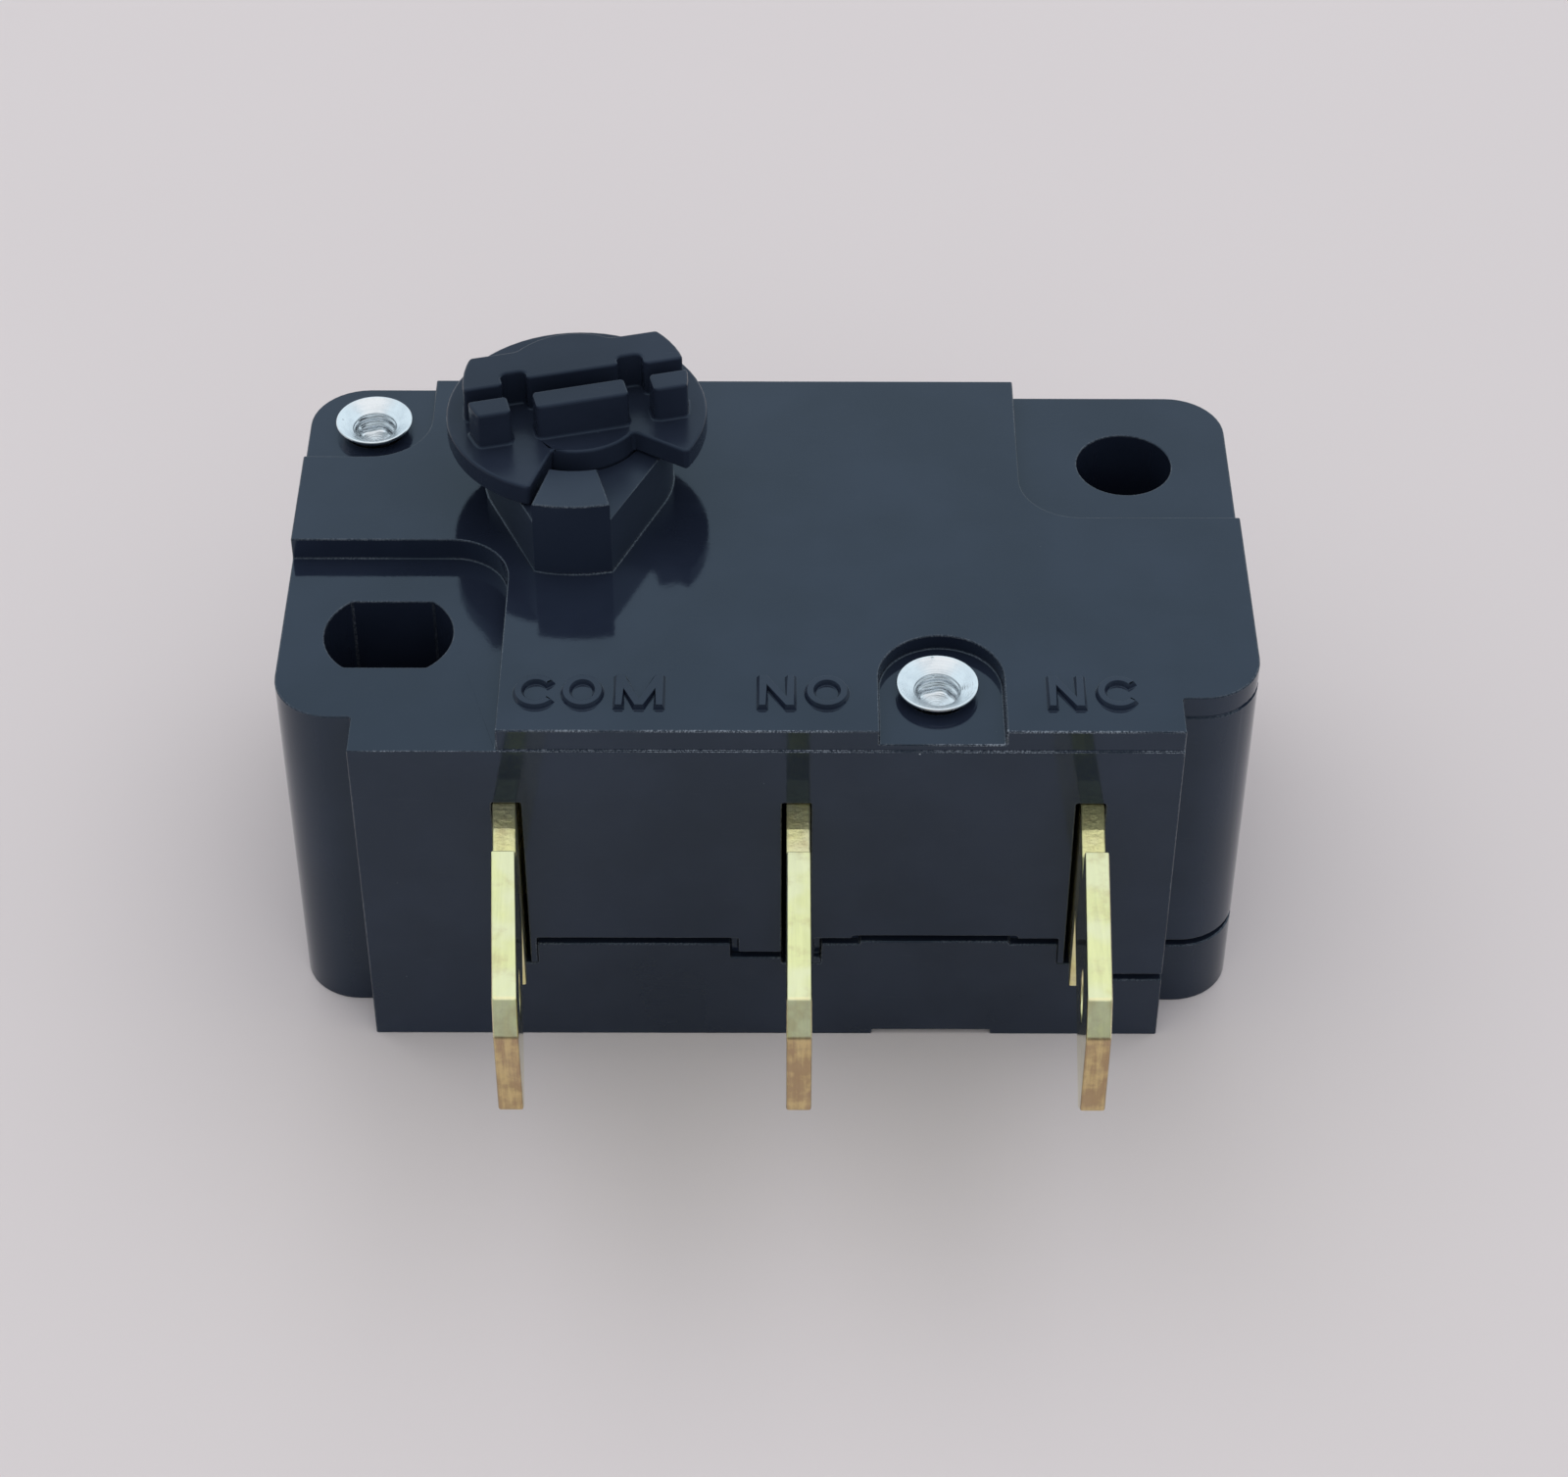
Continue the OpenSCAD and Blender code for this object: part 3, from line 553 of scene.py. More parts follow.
def offset_ring(outline: np.ndarray, distance: np.ndarray, sharpest: float = 1.2) -> np.ndarray:
    """An outline moved out along its mitred corner normals.

    Each corner moves along the mean of its two edges' normals, by the distance over the cosine of half the
    turn there, so that each edge moves by the distance itself.

    Args:
        outline: the corners in order, anticlockwise round the inside, one row each.
        distance: the distances, one for each ring that is made.
        sharpest: the least square of the normals' sum, which keeps sharp corners from running out too far.

    Returns:
        The moved outlines, as rings by corners by two.
    """
    ahead = np.roll(outline, -1, axis=0) - outline
    ahead /= np.linalg.norm(ahead, axis=1, keepdims=True)
    normal = np.stack([ahead[:, 1], -ahead[:, 0]], axis=1)
    both = normal + np.roll(normal, 1, axis=0)
    mitre = 2.0 * both / np.maximum(np.sum(both * both, axis=1, keepdims=True), sharpest)
    return outline[None] + distance[:, None, None] * mitre[None]


def new_mesh(name: str, points: np.ndarray, faces: list[list[int]]) -> bpy.types.Mesh:
    """A mesh from points in millimetres and faces.

    Args:
        name: the mesh's name.
        points: the points, one row each.
        faces: each face's corner numbers.

    Returns:
        The mesh in metres, smooth but for sharp edges, with its faces turned outwards.
    """
    mesh = bpy.data.meshes.new(name)
    mesh.from_pydata(np.asarray(points, float) * MM, [], faces)
    work = bmesh.new()
    work.from_mesh(mesh)
    bmesh.ops.recalc_face_normals(work, faces=work.faces)
    work.to_mesh(mesh)
    work.free()
    mesh.validate()
    mesh.shade_smooth()
    mesh.set_sharp_from_angle(angle=math.radians(SMOOTH_ANGLE))
    return mesh


class Shells:
    """Closed shells that are gathered into one mesh."""

    def __init__(self) -> None:
        """Starts without any."""
        self.points: list[np.ndarray] = []
        self.faces: list[list[int]] = []
        self.count = 0

    def add(self, points: np.ndarray, blocks: Sequence[np.ndarray]) -> None:
        """Adds one shell.

        Args:
            points: its points in millimetres, one row each.
            blocks: arrays of its faces' corner numbers, which count from its own first point.
        """
        for block in blocks:
            self.faces += (block + self.count).tolist()
        self.points.append(points)
        self.count += len(points)

    def mesh(self, name: str) -> bpy.types.Mesh:
        """The shells as one mesh of that name."""
        return new_mesh(name, np.concatenate(self.points), self.faces)


def new_piece(name: str, mesh: bpy.types.Mesh, body: Body) -> bpy.types.Object:
    """An object at the origin that rides on a body.

    Args:
        name: the piece's name.
        mesh: its mesh, in place.
        body: the body that it rides on.

    Returns:
        The piece.
    """
    piece = bpy.data.objects.new(name, mesh)
    bpy.context.scene.collection.objects.link(piece)
    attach(piece, body.value)
    return piece


def dress(piece: bpy.types.Object, material: bpy.types.Material) -> None:
    """Gives the piece that one material."""
    piece.data.materials.clear()
    piece.data.materials.append(material)


class FlatRegion:
    """A flat part of a mesh: faces joined by level edges, with its boundary as straight runs in its plane.

    LOOKS are the shares of a run from which its points look into the region. TINY keeps divisors from zero,
    NEAR is the least distance that counts, and SLACK is the share by which a run may be missed.
    """

    LOOKS = np.array([[0.08], [0.5], [0.92]])
    TINY = 1e-12
    NEAR = 1e-8
    SLACK = 0.001

    def __init__(self, faces: Sequence[bmesh.types.BMFace], inside: set[bmesh.types.BMEdge]) -> None:
        """Lays the boundary out in the plane.

        Args:
            faces: the region's faces.
            inside: the level edges between faces, which aren't part of a boundary.
        """
        loops = [loop for face in faces for loop in face.loops if loop.edge not in inside]
        normal = np.array(faces[0].normal)
        helper = np.eye(3)[np.argmin(np.abs(normal))]
        first = np.cross(normal, helper)
        first /= np.linalg.norm(first)
        plane = np.stack([first, np.cross(normal, first)], axis=1)
        self.edges = [loop.edge for loop in loops]
        self.start = np.array([loop.vert.co for loop in loops]) @ plane
        self.end = np.array([loop.link_loop_next.vert.co for loop in loops]) @ plane
        self.ends = np.array([(loop.vert.index, loop.link_loop_next.vert.index) for loop in loops])

    def width(self, number: int) -> float:
        """How wide the region is in front of one of its boundary runs.

        A point of the run looks straight into the region: start + s inward = other start + t other run, so by
        Cramer's rule s and t are ratios of cross products. The nearest other run that it meets counts, and at
        most the furthest corner's distance.

        Args:
            number: the run's number.

        Returns:
            The width in metres.
        """
        start, run = self.start[number], self.end[number] - self.start[number]
        inward = np.array([-run[1], run[0]]) / max(np.linalg.norm(run), self.TINY)
        depth = float(((self.start - start) @ inward).max())
        apart = ~np.isin(self.ends, self.ends[number]).any(axis=1)
        if not apart.any():
            return depth
        origin, other = self.start[apart], self.end[apart] - self.start[apart]
        across = inward[0] * other[:, 1] - inward[1] * other[:, 0]
        across = np.where(np.abs(across) < self.TINY, self.TINY, across)
        away = origin[None] - (start + self.LOOKS * run)[:, None]
        ahead = (away[..., 0] * other[:, 1] - away[..., 1] * other[:, 0]) / across
        along = (away[..., 0] * inward[1] - away[..., 1] * inward[0]) / across
        met = (ahead > self.NEAR) & (along > -self.SLACK) & (along < 1 + self.SLACK)
        return min(depth, float(np.where(met, ahead, np.inf).min()))


@dataclass
class Moulding:
    """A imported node's shape with its edges rounded as a tool leaves them; lengths in millimetres.

    The node's triangles are merged and joined into flat faces. An edge is rounded where its faces turn by
    more than the limit, by its radius or by a share of the narrower flat beside it, so that ledges and
    grooves stay crisp. Upright edges may have a larger radius than the rest.
    """

    node: str
    body: Body
    slot: str
    finish: Finish
    radius: float
    upright_radius: float = 0.0
    edge_finish: Finish | None = None
    segments: int = 3
    turn: float = 24.0
    flat_turn: float = 0.3
    weld: float = 0.0002
    share: float = 0.4
    least: float = 0.02
    upright_share: float = 0.95

    @property
    def largest(self) -> float:
        """The larger of the two radii."""
        return max(self.radius, self.upright_radius)

    def wanted(self, edge: bmesh.types.BMEdge) -> float:
        """The radius that an edge gets where there is room."""
        first, second = (corner.co for corner in edge.verts)
        upright = abs(first.z - second.z) > self.upright_share * edge.calc_length()
        return self.largest if upright else self.radius

    def shape(self) -> bpy.types.Mesh:
        """The merged copy of the node's mesh with its edges' rounding weights."""
        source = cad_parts[self.node].data
        points = np.empty(len(source.vertices) * 3)
        source.vertices.foreach_get("co", points)
        corners = np.empty(len(source.loops), dtype=np.int64)
        source.loops.foreach_get("vertex_index", corners)
        mesh = bpy.data.meshes.new(self.node + "_rounded")
        mesh.from_pydata(points.reshape(-1, 3), [], corners.reshape(-1, 3).tolist())
        work = bmesh.new()
        work.from_mesh(mesh)
        bmesh.ops.remove_doubles(work, verts=work.verts, dist=self.weld * MM)
        limit = math.radians(self.flat_turn)
        bmesh.ops.dissolve_limit(work, angle_limit=limit, verts=work.verts, edges=work.edges, delimit=set())
        work.verts.index_update()
        weight = work.edges.layers.float.new("bevel_weight_edge")
        for edge, width in self.widths(work).items():
            radius = min(self.wanted(edge), self.share * width / MM)
            edge[weight] = radius / self.largest if radius > self.least else 0.0
        work.to_mesh(mesh)
        work.free()
        mesh.shade_smooth()
        mesh.set_sharp_from_angle(angle=math.radians(self.turn))
        return mesh

    def widths(self, work: bmesh.types.BMesh) -> dict[bmesh.types.BMEdge, float]:
        """The narrower of the two flats beside each edge that turns by more than the limit.

        Args:
            work: the merged mesh.

        Returns:
            The width in metres of each such edge.
        """
        limit = math.radians(self.flat_turn)
        level = {edge for edge in work.edges if edge.calc_face_angle(math.pi) < limit}
        found: dict[bmesh.types.BMEdge, float] = {}
        waiting = set(work.faces)
        while waiting:
            group, fresh = [], [waiting.pop()]
            while fresh:
                face = fresh.pop()
                group.append(face)
                joined = [edge for edge in face.edges if edge in level]
                beside = {other for edge in joined for other in edge.link_faces} & waiting
                waiting -= beside
                fresh += beside
            region = FlatRegion(group, level)
            for number, edge in enumerate(region.edges):
                if edge.calc_face_angle(0.0) > math.radians(self.turn):
                    found[edge] = min(region.width(number), found.get(edge, math.inf))
        return found

    def build(self) -> None:
        """Makes the rounded and dressed piece, which stands for its node."""
        piece = new_piece(self.node + "_shape", self.shape(), self.body)
        bevel = piece.modifiers.new("rounded_edges", "BEVEL")
        bevel.limit_method = "WEIGHT"
        bevel.width = self.largest * MM
        bevel.segments = self.segments
        bevel.use_clamp_overlap = False
        bevel.harden_normals = True
        bevel.miter_outer = "MITER_ARC"
        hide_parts(self.node)
        dress(piece, self.finish.make())
        if self.edge_finish is not None:
            piece.data.materials.append(self.edge_finish.make())
            bevel.material = 1
        LOG.info("%s: rounded by %.2f mm", piece.name, self.radius)


@dataclass
class TubularRivets:
    """The two tubular rivets that hold the halves, each flared into a dish over its pad."""

    finish: Finish
    node: str = "rivets"
    slot: str = "rivet_metal"
    centres: tuple[Pair, ...] = RIVET_CENTRES
    pad_levels: tuple[float, ...] = (13.23, 13.10)
    head_low: float = 0.2
    head_high: float = 0.75
    head_radius: float = 1.6
    head_edge: float = 0.14
    shank: float = 0.95
    flare: float = 1.29
    flare_height: float = 0.43
    lip: float = 0.055
    lip_start: float = -30.0
    lip_points: int = 10
    dish: float = 0.3
    dish_slope: float = 33.0
    turn_in: float = 0.09
    turn_points: int = 8
    throat: float = 0.72
    throat_length: float = 0.55
    throat_points: int = 33
    taper: float = 0.16
    ridge: float = 0.03
    ridges: int = 2
    hollow: float = 0.08
    hollow_points: int = 9
    lobes: int = 5
    lobe_depth: float = 0.06
    columns: int = 120

    def profile(self, pad_level: float) -> np.ndarray:
        """A rivet's profile from its foot to the bottom of its throat.

        The lip is an arc, the dish a straight slope, the turn into the throat an arc, the throat a ridged
        taper, radius = throat - taper s - ridge sin(2 pi ridges s), and its bottom a bowl, depth = hollow
        (1 - (r / end)^2). The tool that spread the rivet left shallow lobes in the throat.

        Args:
            pad_level: the height of the pad under the flare.

        Returns:
            Rows of radius, height and lobe depth.
        """
        top = pad_level + self.flare_height
        head = np.array([
            (0.0, self.head_low), (self.head_radius - self.head_edge, self.head_low),
            (self.head_radius, self.head_low + self.head_edge), (self.head_radius, self.head_high),
            (self.shank, self.head_high), (self.shank, pad_level),
        ])
        over = np.radians(np.linspace(self.lip_start, 90.0 + self.dish_slope, self.lip_points))
        lip = self.lip * np.stack([np.cos(over) - 1, np.sin(over) - 1], axis=1) + (self.flare, top)
        inwards = np.radians(np.linspace(self.dish_slope, 90.0, self.turn_points))
        turn = np.stack([1 - np.sin(inwards), np.cos(inwards) - np.cos(inwards[0])], axis=1)
        turn = self.turn_in * turn + (self.throat, top - self.dish)
        down = np.linspace(0.0, 1.0, self.throat_points)[1:]
        narrowing = self.taper * down + self.ridge * np.sin(2 * np.pi * self.ridges * down)
        throat = np.stack([self.throat - narrowing, turn[-1, 1] - self.throat_length * down], axis=1)
        inner = np.linspace(1.0, 0.0, self.hollow_points)[1:]
        bowl = np.stack([throat[-1, 0] * inner, throat[-1, 1] - self.hollow * (1 - inner**2)], axis=1)
        rows = np.concatenate([head, lip, turn, throat, bowl])
        plain = np.zeros(len(head) + len(lip) + len(turn))
        lobed = np.concatenate([plain, self.lobe_depth * down, np.full(len(bowl), self.lobe_depth)])
        return np.concatenate([rows, lobed[:, None]], axis=1)

    def turned(self, profile: np.ndarray) -> tuple[np.ndarray, list[np.ndarray]]:
        """A profile turned about the upright axis, with a pole at each end.

        The point at angle a is (r cos a, r sin a, height), where r = radius (1 + lobe depth cos(lobes a)).

        Args:
            profile: rows of radius, height and lobe depth, from pole to pole.

        Returns:
            The points, and the arrays of the quads between the rings and the triangles round the poles.
        """
        angles = np.linspace(0.0, 2 * np.pi, self.columns, endpoint=False)
        rows = profile[1:-1]
        radius = rows[:, 0, None] * (1 + rows[:, 2, None] * np.cos(self.lobes * angles))
        flat = radius[:, :, None] * np.stack([np.cos(angles), np.sin(angles)], axis=1)
        heights = np.broadcast_to(rows[:, 1, None, None], flat.shape[:2] + (1,))
        rings = np.concatenate([flat, heights], axis=2).reshape(-1, 3)
        poles = np.stack([np.zeros(2), np.zeros(2), profile[[0, -1], 1]], axis=1)
        step = np.arange(self.columns)
        after, last = (step + 1) % self.columns, len(rings) - self.columns
        low = np.stack([np.full(self.columns, len(rings)), after, step], axis=1)
        high = np.stack([np.full(self.columns, len(rings) + 1), last + step, last + after], axis=1)
        return np.concatenate([rings, poles]), [grid_faces(len(rows), self.columns), low, high]

    def build(self) -> None:
        """Makes both rivets as one dressed piece, which stands for their node."""
        shells = Shells()
        for (x, y), level in zip(self.centres, self.pad_levels):
            points, blocks = self.turned(self.profile(level))
            shells.add(points + np.array([x, y, 0.0]), blocks)
        name = self.node + "_shape"
        piece = new_piece(name, shells.mesh(name), Body.HOUSING)
        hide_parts(self.node)
        dress(piece, self.finish.make())
        LOG.info("%s: %d rivets", piece.name, len(self.centres))


@dataclass
class ContactMarks:
    """The raised letters in front of each terminal; each word gives letters, left sides and widths.

    A letter is its outline carried up a wall profile, with a level top and a level underside.
    """

    finish: Finish
    slot: str = "case_black"
    height: float = 1.44
    stroke: float = 0.28
    point_share: float = 1.12
    middle_y: float = -7.06
    top_z: float = 13.65
    rise: float = 0.165
    sunk: float = 0.05
    lean: float = 0.035
    foot: float = 0.02
    foot_angles: tuple[float, ...] = (0.0, 25.0, 50.0, 70.0)
    brow: float = 0.02
    brow_angles: tuple[float, ...] = (20.0, 45.0, 70.0, 90.0)
    rim: float = 0.012
    arc_points: int = 96
    opening: float = 36.0
    words: dict[str, tuple[tuple[Letter, float, float], ...]] = field(
        default_factory=lambda: {
            "mark_common": ((Letter.C, -7.83, 1.36), (Letter.O, -6.34, 1.28), (Letter.M, -4.70, 1.54)),
            "mark_normally_open": ((Letter.N, -0.25, 1.16), (Letter.O, 1.23, 1.33)),
            "mark_normally_closed": ((Letter.N, 8.74, 1.16), (Letter.C, 10.26, 1.36)),
        }
    )

    def oval(self, width: float, inset: float, angles: np.ndarray) -> np.ndarray:
        """Points of an oval letter's edge: half sizes less the inset times (cos a, sin a)."""
        half = np.array([width / 2 - inset, self.height / 2 - inset])
        return np.stack([np.cos(angles), np.sin(angles)], axis=1) * half

    def outlines(self, letter: Letter, width: float) -> list[np.ndarray]:
        """The letter's closed outlines about its middle, the outer one first.

        Round letters are ovals or an oval band with a gap on the right. The others are bars with slanted
        bands, whose corners follow from the stroke and the slope of the bands.

        Args:
            letter: the letter.
            width: its width.

        Returns:
            Each outline's corners, anticlockwise.
        """
        high, bar = self.height, self.stroke
        if letter is Letter.O:
            angles = np.linspace(0.0, 2 * np.pi, self.arc_points, endpoint=False)
            return [self.oval(width, 0.0, angles), self.oval(width, bar, angles)]
        if letter is Letter.C:
            gap = math.radians(self.opening)
            angles = np.linspace(gap, 2 * np.pi - gap, self.arc_points)
            return [np.concatenate([self.oval(width, 0.0, angles), self.oval(width, bar, angles[::-1])])]
        point = self.point_share * bar
        if letter is Letter.N:
            drop = high * bar / (width - point)
            corners = [
                (0.0, 0.0), (bar, 0.0), (bar, high - drop), (width - point, 0.0), (width, 0.0),
                (width, high), (width - bar, high), (width - bar, drop), (point, high), (0.0, high),
            ]
        else:
            half = width / 2
            slope = high / (half - point / 2)
            inner = high - slope * bar
            corners = [
                (0.0, 0.0), (bar, 0.0), (bar, inner), (half - point / 2, 0.0), (half + point / 2, 0.0),
                (width - bar, inner), (width - bar, 0.0), (width, 0.0), (width, high),
                (width - point, high), (half, high - slope * (half - point)), (point, high), (0.0, high),
            ]
        return [np.array(corners) - np.array([width / 2, high / 2])]

    def profile(self) -> np.ndarray:
        """The wall's profile from the ground up as rows of offset and height.

        A hollow quarter round at the foot, (lean + foot (1 - sin a), foot (1 - cos a)), runs into a leaning
        wall, and a rounded brow, (brow (cos b - 1) - lean, rise + brow (sin b - 1)), ends it on a level rim.
        """
        hollow, over = np.radians(self.foot_angles), np.radians(self.brow_angles)
        below = np.array([(self.lean + self.foot, -self.sunk)])
        out = self.lean + self.foot * (1 - np.sin(hollow))
        foot = np.stack([out, self.foot * (1 - np.cos(hollow))], axis=1)
        back = self.brow * (np.cos(over) - 1) - self.lean
        brow = np.stack([back, self.rise + self.brow * (np.sin(over) - 1)], axis=1)
        rim = brow[-1:] - np.array([(self.rim, 0.0)])
        return np.concatenate([below, foot, brow, rim])

    def letter_shell(self, letter: Letter, left: float, width: float) -> tuple[np.ndarray, list[np.ndarray]]:
        """A closed letter.

        Args:
            letter: the letter.
            left: the x of its left side.
            width: its width.

        Returns:
            Its points in millimetres and the arrays of its faces.
        """
        profile = self.profile()
        rows = len(profile)
        walls, blocks, start = [], [], 0
        rims: list[tuple[np.ndarray, np.ndarray]] = []
        for number, outline in enumerate(self.outlines(letter, width)):
            sign = -1.0 if number else 1.0
            count = len(outline)
            heights = np.broadcast_to(profile[:, 1, None, None], (rows, count, 1))
            rings = np.concatenate([offset_ring(outline, sign * profile[:, 0]), heights], axis=2)
            walls.append(rings.reshape(-1, 3))
            blocks.append(grid_faces(rows, count) + start)
            first = np.arange(count) + start
            rims.append((first, first + (rows - 1) * count))
            start += rows * count
        for rim in zip(*rims):
            if letter is Letter.O:
                outer, inner = rim
                blocks.append(np.stack([outer, np.roll(outer, -1), np.roll(inner, -1), inner], axis=1))
            elif letter is Letter.C:
                outer, inner = np.split(rim[0], 2)
                inner = inner[::-1]
                blocks.append(np.stack([outer[:-1], outer[1:], inner[1:], inner[:-1]], axis=1))
            else:
                blocks.append(rim[0][None])
        points = np.concatenate(walls) + np.array([left + width / 2, self.middle_y, self.top_z])
        return points, blocks

    def build(self) -> None:
        """Makes one piece for each terminal's letters."""
        material = self.finish.make()
        for name, letters in self.words.items():
            shells = Shells()
            for letter, left, width in letters:
                shells.add(*self.letter_shell(letter, left, width))
            piece = new_piece(name, shells.mesh(name), Body.HOUSING)
            dress(piece, material)
            LOG.info("%s: %d letters", name, len(letters))


@dataclass
class Mechanism:
    """The pieces inside the housing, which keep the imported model's shapes."""

    finishes: dict[str, Finish]

    def dress(self) -> None:
        """Gives each inner node its finish."""
        made: dict[str, bpy.types.Material] = {}
        for node, finish in self.finishes.items():
            if finish.name not in made:
                made[finish.name] = finish.make()
            dress(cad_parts[node], made[finish.name])
            LOG.info("%s: %s", node, finish.name)


@dataclass(frozen=True)
class Lamp:
    """A square soft lamp, which mirrors don't show; lengths in millimetres and power in watts."""

    name: str
    place: Place
    size: float
    power: float
    colour: Colour

    def hang(self, aim: Place) -> None:
        """Puts the lamp in its place, turned towards the aim."""
        data = bpy.data.lights.new(self.name, "AREA")
        data.shape = "SQUARE"
        data.size = self.size * MM
        data.energy = self.power
        data.color = self.colour
        lamp = bpy.data.objects.new(self.name, data)
        bpy.context.scene.collection.objects.link(lamp)
        lamp.visible_glossy = False
        lamp.location = Vector(self.place) * MM
        lamp.rotation_mode = "QUATERNION"
        lamp.rotation_quaternion = (Vector(self.place) - Vector(aim)).to_track_quat("Z", "Y")


@dataclass
class Studio:
    """Floor, light and camera; lengths in millimetres and angles in degrees."""

    focal_pixels: float = 3701.772
    azimuth: float = -0.0548
    elevation: float = 43.041
    roll: float = 0.1652
    eye: Place = (0.4839, -90.2894, 89.4759)
    sensor: float = 36.0
    clip: Pair = (5.0, 50000.0)
    floor_half: float = 4000.0
    floor_colour: Colour = (0.70, 0.645, 0.65)
    floor_tone: Cloud = Cloud(0.02, low=0.2, high=0.8)
    floor_shade: float = 0.97
    floor_roughness: float = 0.9
    floor_depth: float = 0.001
    sky_colour: Colour = (0.78, 0.92, 1.0)
    zenith_colour: Colour = (0.95, 0.98, 1.0)
    zenith_step: Pair = (0.78, 0.97)
    sky_pole: Place = (0.0, 0.6, 0.8)
    sky_step: Pair = (-0.3, 0.7)
    front_level: float = 0.1
    ambient_colour: Colour = (0.92, 0.96, 1.0)
    ambient: float = 0.74
    backdrop: Colour = (1.0, 1.0, 1.0)
    aim: Place = (0.0, 0.0, 6.0)
    lamps: tuple[Lamp, ...] = (
        Lamp("key_lamp", (-20.0, 90.0, 300.0), 420.0, 0.36, (1.0, 0.98, 0.95)),
        Lamp("fill_lamp", (60.0, -200.0, 220.0), 260.0, 0.10, (0.95, 0.97, 1.0)),
    )

    def camera(self) -> None:
        """Sets the camera at the photograph's viewing angle."""
        turn, tilt, roll = (math.radians(value) for value in (self.azimuth, self.elevation, self.roll))
        back = Vector((math.sin(turn) * math.cos(tilt), -math.cos(turn) * math.cos(tilt), math.sin(tilt)))
        right = Vector((math.cos(turn), math.sin(turn), 0.0))
        up = back.cross(right)
        across = right * math.cos(roll) + up * math.sin(roll)
        upright = up * math.cos(roll) - right * math.sin(roll)
        data = bpy.data.cameras.new("camera")
        data.sensor_fit = "HORIZONTAL"
        data.sensor_width = self.sensor
        data.lens = self.sensor * self.focal_pixels / IMAGE_WIDTH
        data.clip_start, data.clip_end = (distance * MM for distance in self.clip)
        camera = bpy.data.objects.new("camera", data)
        bpy.context.scene.collection.objects.link(camera)
        rows = Matrix((across, upright, back)).transposed().to_4x4()
        rows.translation = Vector(self.eye) * MM
        camera.matrix_world = rows
        bpy.context.scene.camera = camera

    def floor(self) -> None:
        """Lays a wide pale floor under the switch: a grid of one square on the plane z = 0."""
        side = self.floor_half
        points = np.array([(-side, -side, 0.0), (side, -side, 0.0), (side, side, 0.0), (-side, side, 0.0)])
        mesh = new_mesh("floor", points, [[0, 1, 2, 3]])
        floor = bpy.data.objects.new("floor", mesh)
        bpy.context.scene.collection.objects.link(floor)
        material, board = new_material("pale_floor")
        tone = board.cloud(board.millimetres(), self.floor_tone)
        shade = tuple(self.floor_shade * value for value in self.floor_colour)
        colour = board.blend(tone, shade, self.floor_colour)
        board.surface({"Base Color": colour, "Roughness": self.floor_roughness}, tone, self.floor_depth)
        dress(floor, material)

    def world(self) -> None:
        """Makes a white backdrop, a sky for mirrors, and a plainer level of soft light.

        The mirrored sky is bluish low down and nearly white overhead, by a soft step of the direction's
        height, and it dims towards the front, by a soft step of the direction's share along sky_pole.
        """
        world = bpy.data.worlds.new("studio")
        bpy.context.scene.world = world
        world.use_nodes = True
        board = Board(world.node_tree)

        def glow(colour: Union[Signal, Colour], strength: Operand) -> Signal:
            """Light of that colour and strength from all round."""
            return board.node("ShaderNodeBackground", None, {"Color": colour, "Strength": strength}).out(0)

        def either(amount: Signal, first: Signal, second: Signal) -> Signal:
            """The first light where the amount is zero, and the second where it is one."""
            return board.node("ShaderNodeMixShader", None, {0: amount, 1: first, 2: second}).out(0)

        path = board.node("ShaderNodeLightPath")
        mirrored = path.out("Is Glossy Ray").larger(path.out("Is Transmission Ray"))
        way = board.node("ShaderNodeTexCoord").out("Object")
        share = board.compared("DOT_PRODUCT", way, self.sky_pole)
        level = self.front_level + (1.0 - self.front_level) * share.ramp(*self.sky_step)
        high = board.part(way, "Z").ramp(*self.zenith_step)
        tint = board.blend(high, self.sky_colour, self.zenith_colour)
        light = either(mirrored, glow(self.ambient_colour, self.ambient), glow(tint, level))
        seen = either(path.out("Is Camera Ray"), light, glow(self.backdrop, 1.0))
        board.node("ShaderNodeOutputWorld", None, {"Surface": seen})

    def build(self) -> None:
        """Makes everything round the switch."""
        self.camera()
        self.floor()
        self.world()
        for lamp in self.lamps:
            lamp.hang(self.aim)
        bpy.context.scene.view_settings.view_transform = "Standard"
        LOG.info("studio: camera, floor, sky and two lamps")


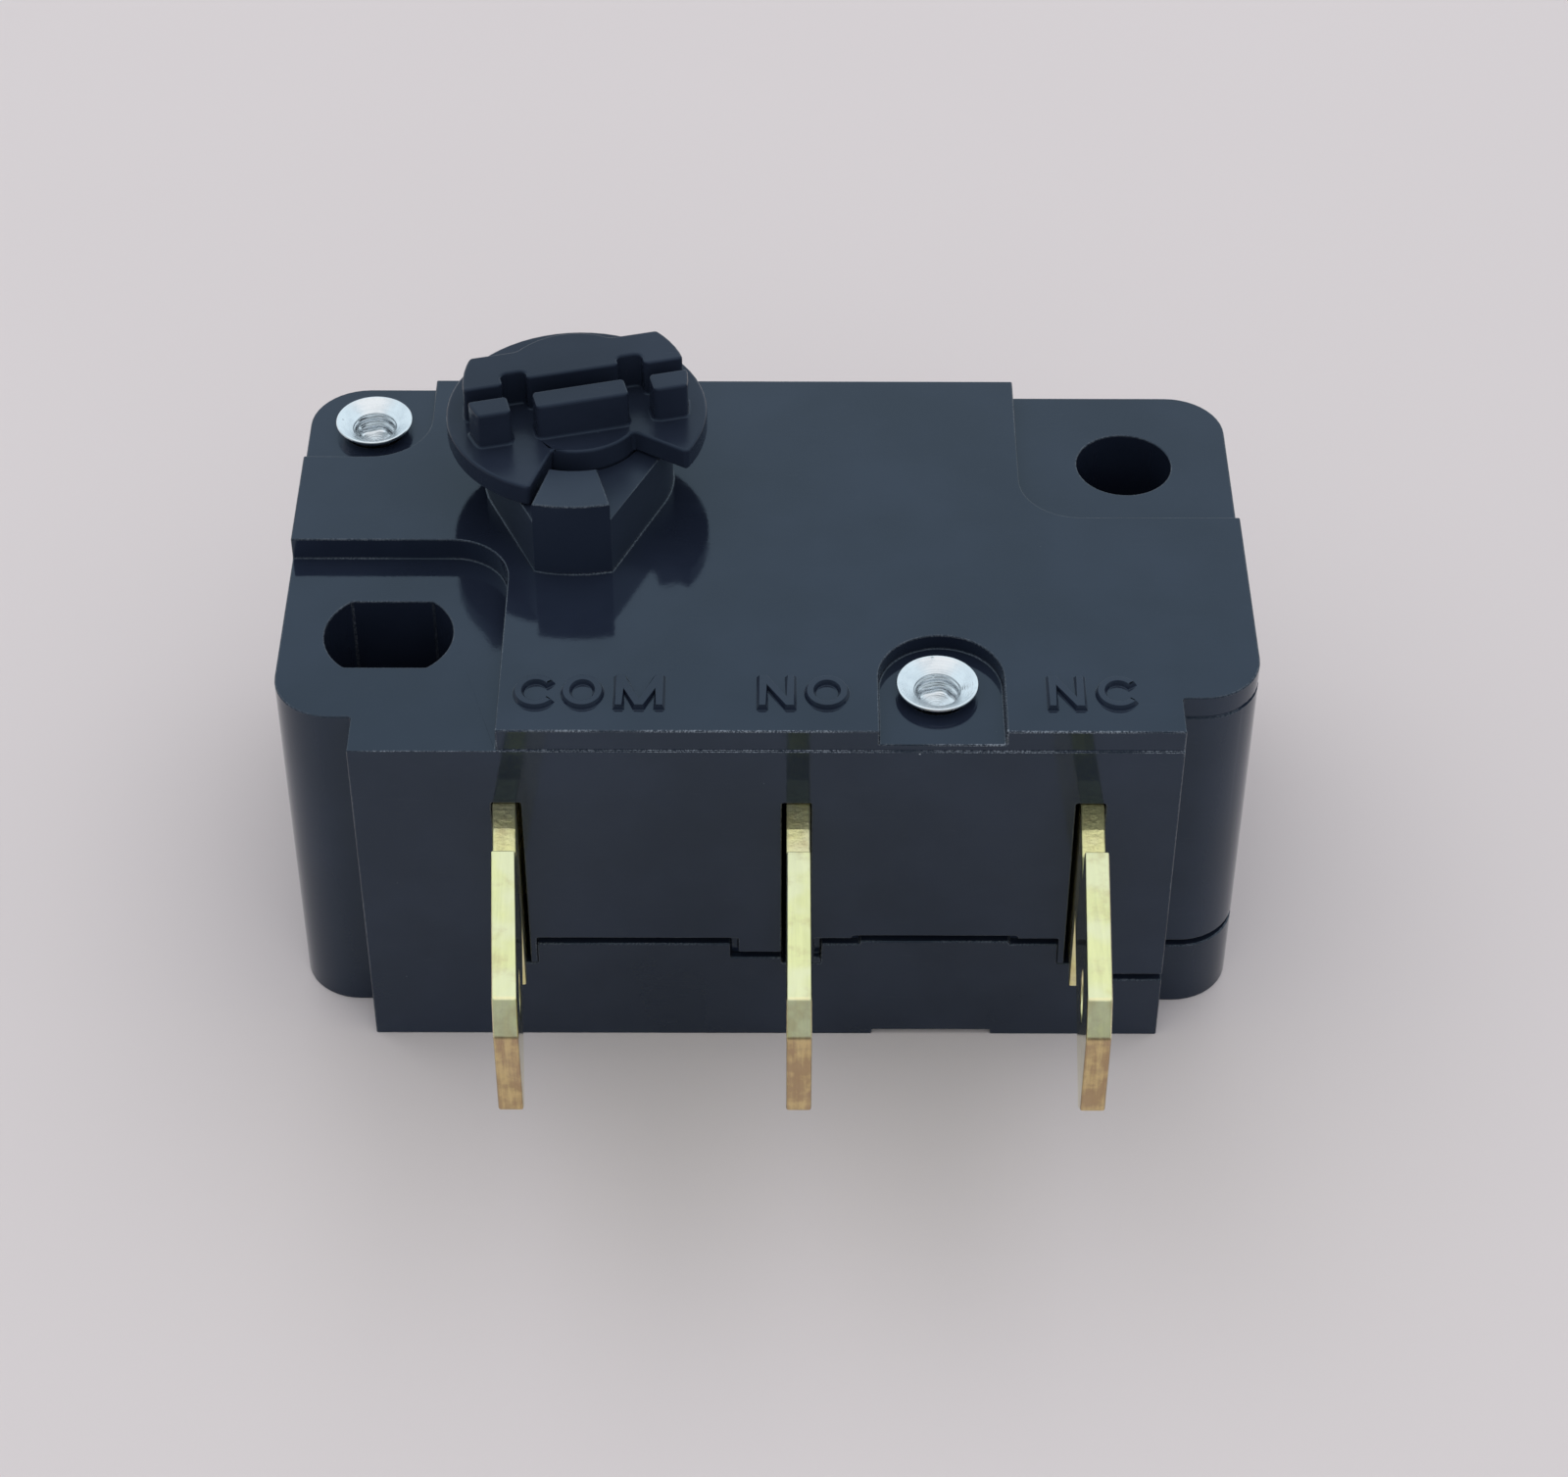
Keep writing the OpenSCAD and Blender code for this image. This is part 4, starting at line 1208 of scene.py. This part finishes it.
CASE_PLASTIC = MouldedPlastic("case_black", (0.0102, 0.0142, 0.0262), roughness=0.06, satin_above=13.7)
COVER_PLASTIC = MouldedPlastic("cover_black", (0.0102, 0.0136, 0.0240), roughness=0.065)
KNOB_PLASTIC = MouldedPlastic(
    "knob_black", (0.0128, 0.0175, 0.0305), roughness=0.22, grain_depth=0.003, gloss=0.265
)
# Rounded edges of the case and cover, with pale dots painted on as highlights.
CASE_EDGE = PaintedHighlightEdge("case_edge", (0.0120, 0.0160, 0.0260))
LEVER_PLASTIC = MouldedPlastic("lever_grey", (0.30, 0.30, 0.29), roughness=0.35, dust_share=0.0)
BLADE_BRASS = StampedBrass("terminal_brass", tip=BLADE_TIP, neck=-11.05)
ARM_BRASS = StampedBrass("arm_brass")
RIVET_METAL = TurnedMetal(
    "rivet_metal", (0.84, 0.86, 0.88), dull=(0.70, 0.73, 0.76), roughness=0.13, centres=RIVET_CENTRES
)
CONTACT_SILVER = TurnedMetal(
    "contact_silver", (0.86, 0.85, 0.82), dull=(0.62, 0.60, 0.56), roughness=0.2, rings=8.0
)
SPRING_STEEL = TurnedMetal(
    "spring_steel", (0.55, 0.56, 0.58), dull=(0.40, 0.40, 0.42), roughness=0.22, rings=4.0
)

CASE_ROUNDING = 0.055
BLADE_ROUNDING = 0.08

MOULDINGS = (
    Moulding("case", Body.HOUSING, "case_black", CASE_PLASTIC, CASE_ROUNDING, edge_finish=CASE_EDGE),
    Moulding("cover", Body.HOUSING, "cover_black", COVER_PLASTIC, CASE_ROUNDING, edge_finish=CASE_EDGE),
    Moulding("knob", Body.KNOB, "knob_black", KNOB_PLASTIC, radius=0.1, upright_radius=0.2),
    *(Moulding(node, Body.HOUSING, "terminal_brass", BLADE_BRASS, BLADE_ROUNDING) for node in TERMINALS),
)

INSIDE = Mechanism(
    {
        "no_contact": CONTACT_SILVER,
        "nc_contact": CONTACT_SILVER,
        "moving_contact": CONTACT_SILVER,
        "contact_arm": ARM_BRASS,
        "actuating_lever": LEVER_PLASTIC,
        "tension_spring": SPRING_STEEL,
    }
)


def main() -> None:
    """Builds the pieces in order and reports each."""
    logging.basicConfig(level=logging.INFO, format="%(name)s %(message)s")
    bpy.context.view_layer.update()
    Studio().build()
    for moulding in MOULDINGS:
        moulding.build()
    TubularRivets(RIVET_METAL).build()
    ContactMarks(CASE_PLASTIC).build()
    INSIDE.dress()


if __name__ == "__main__":
    main()
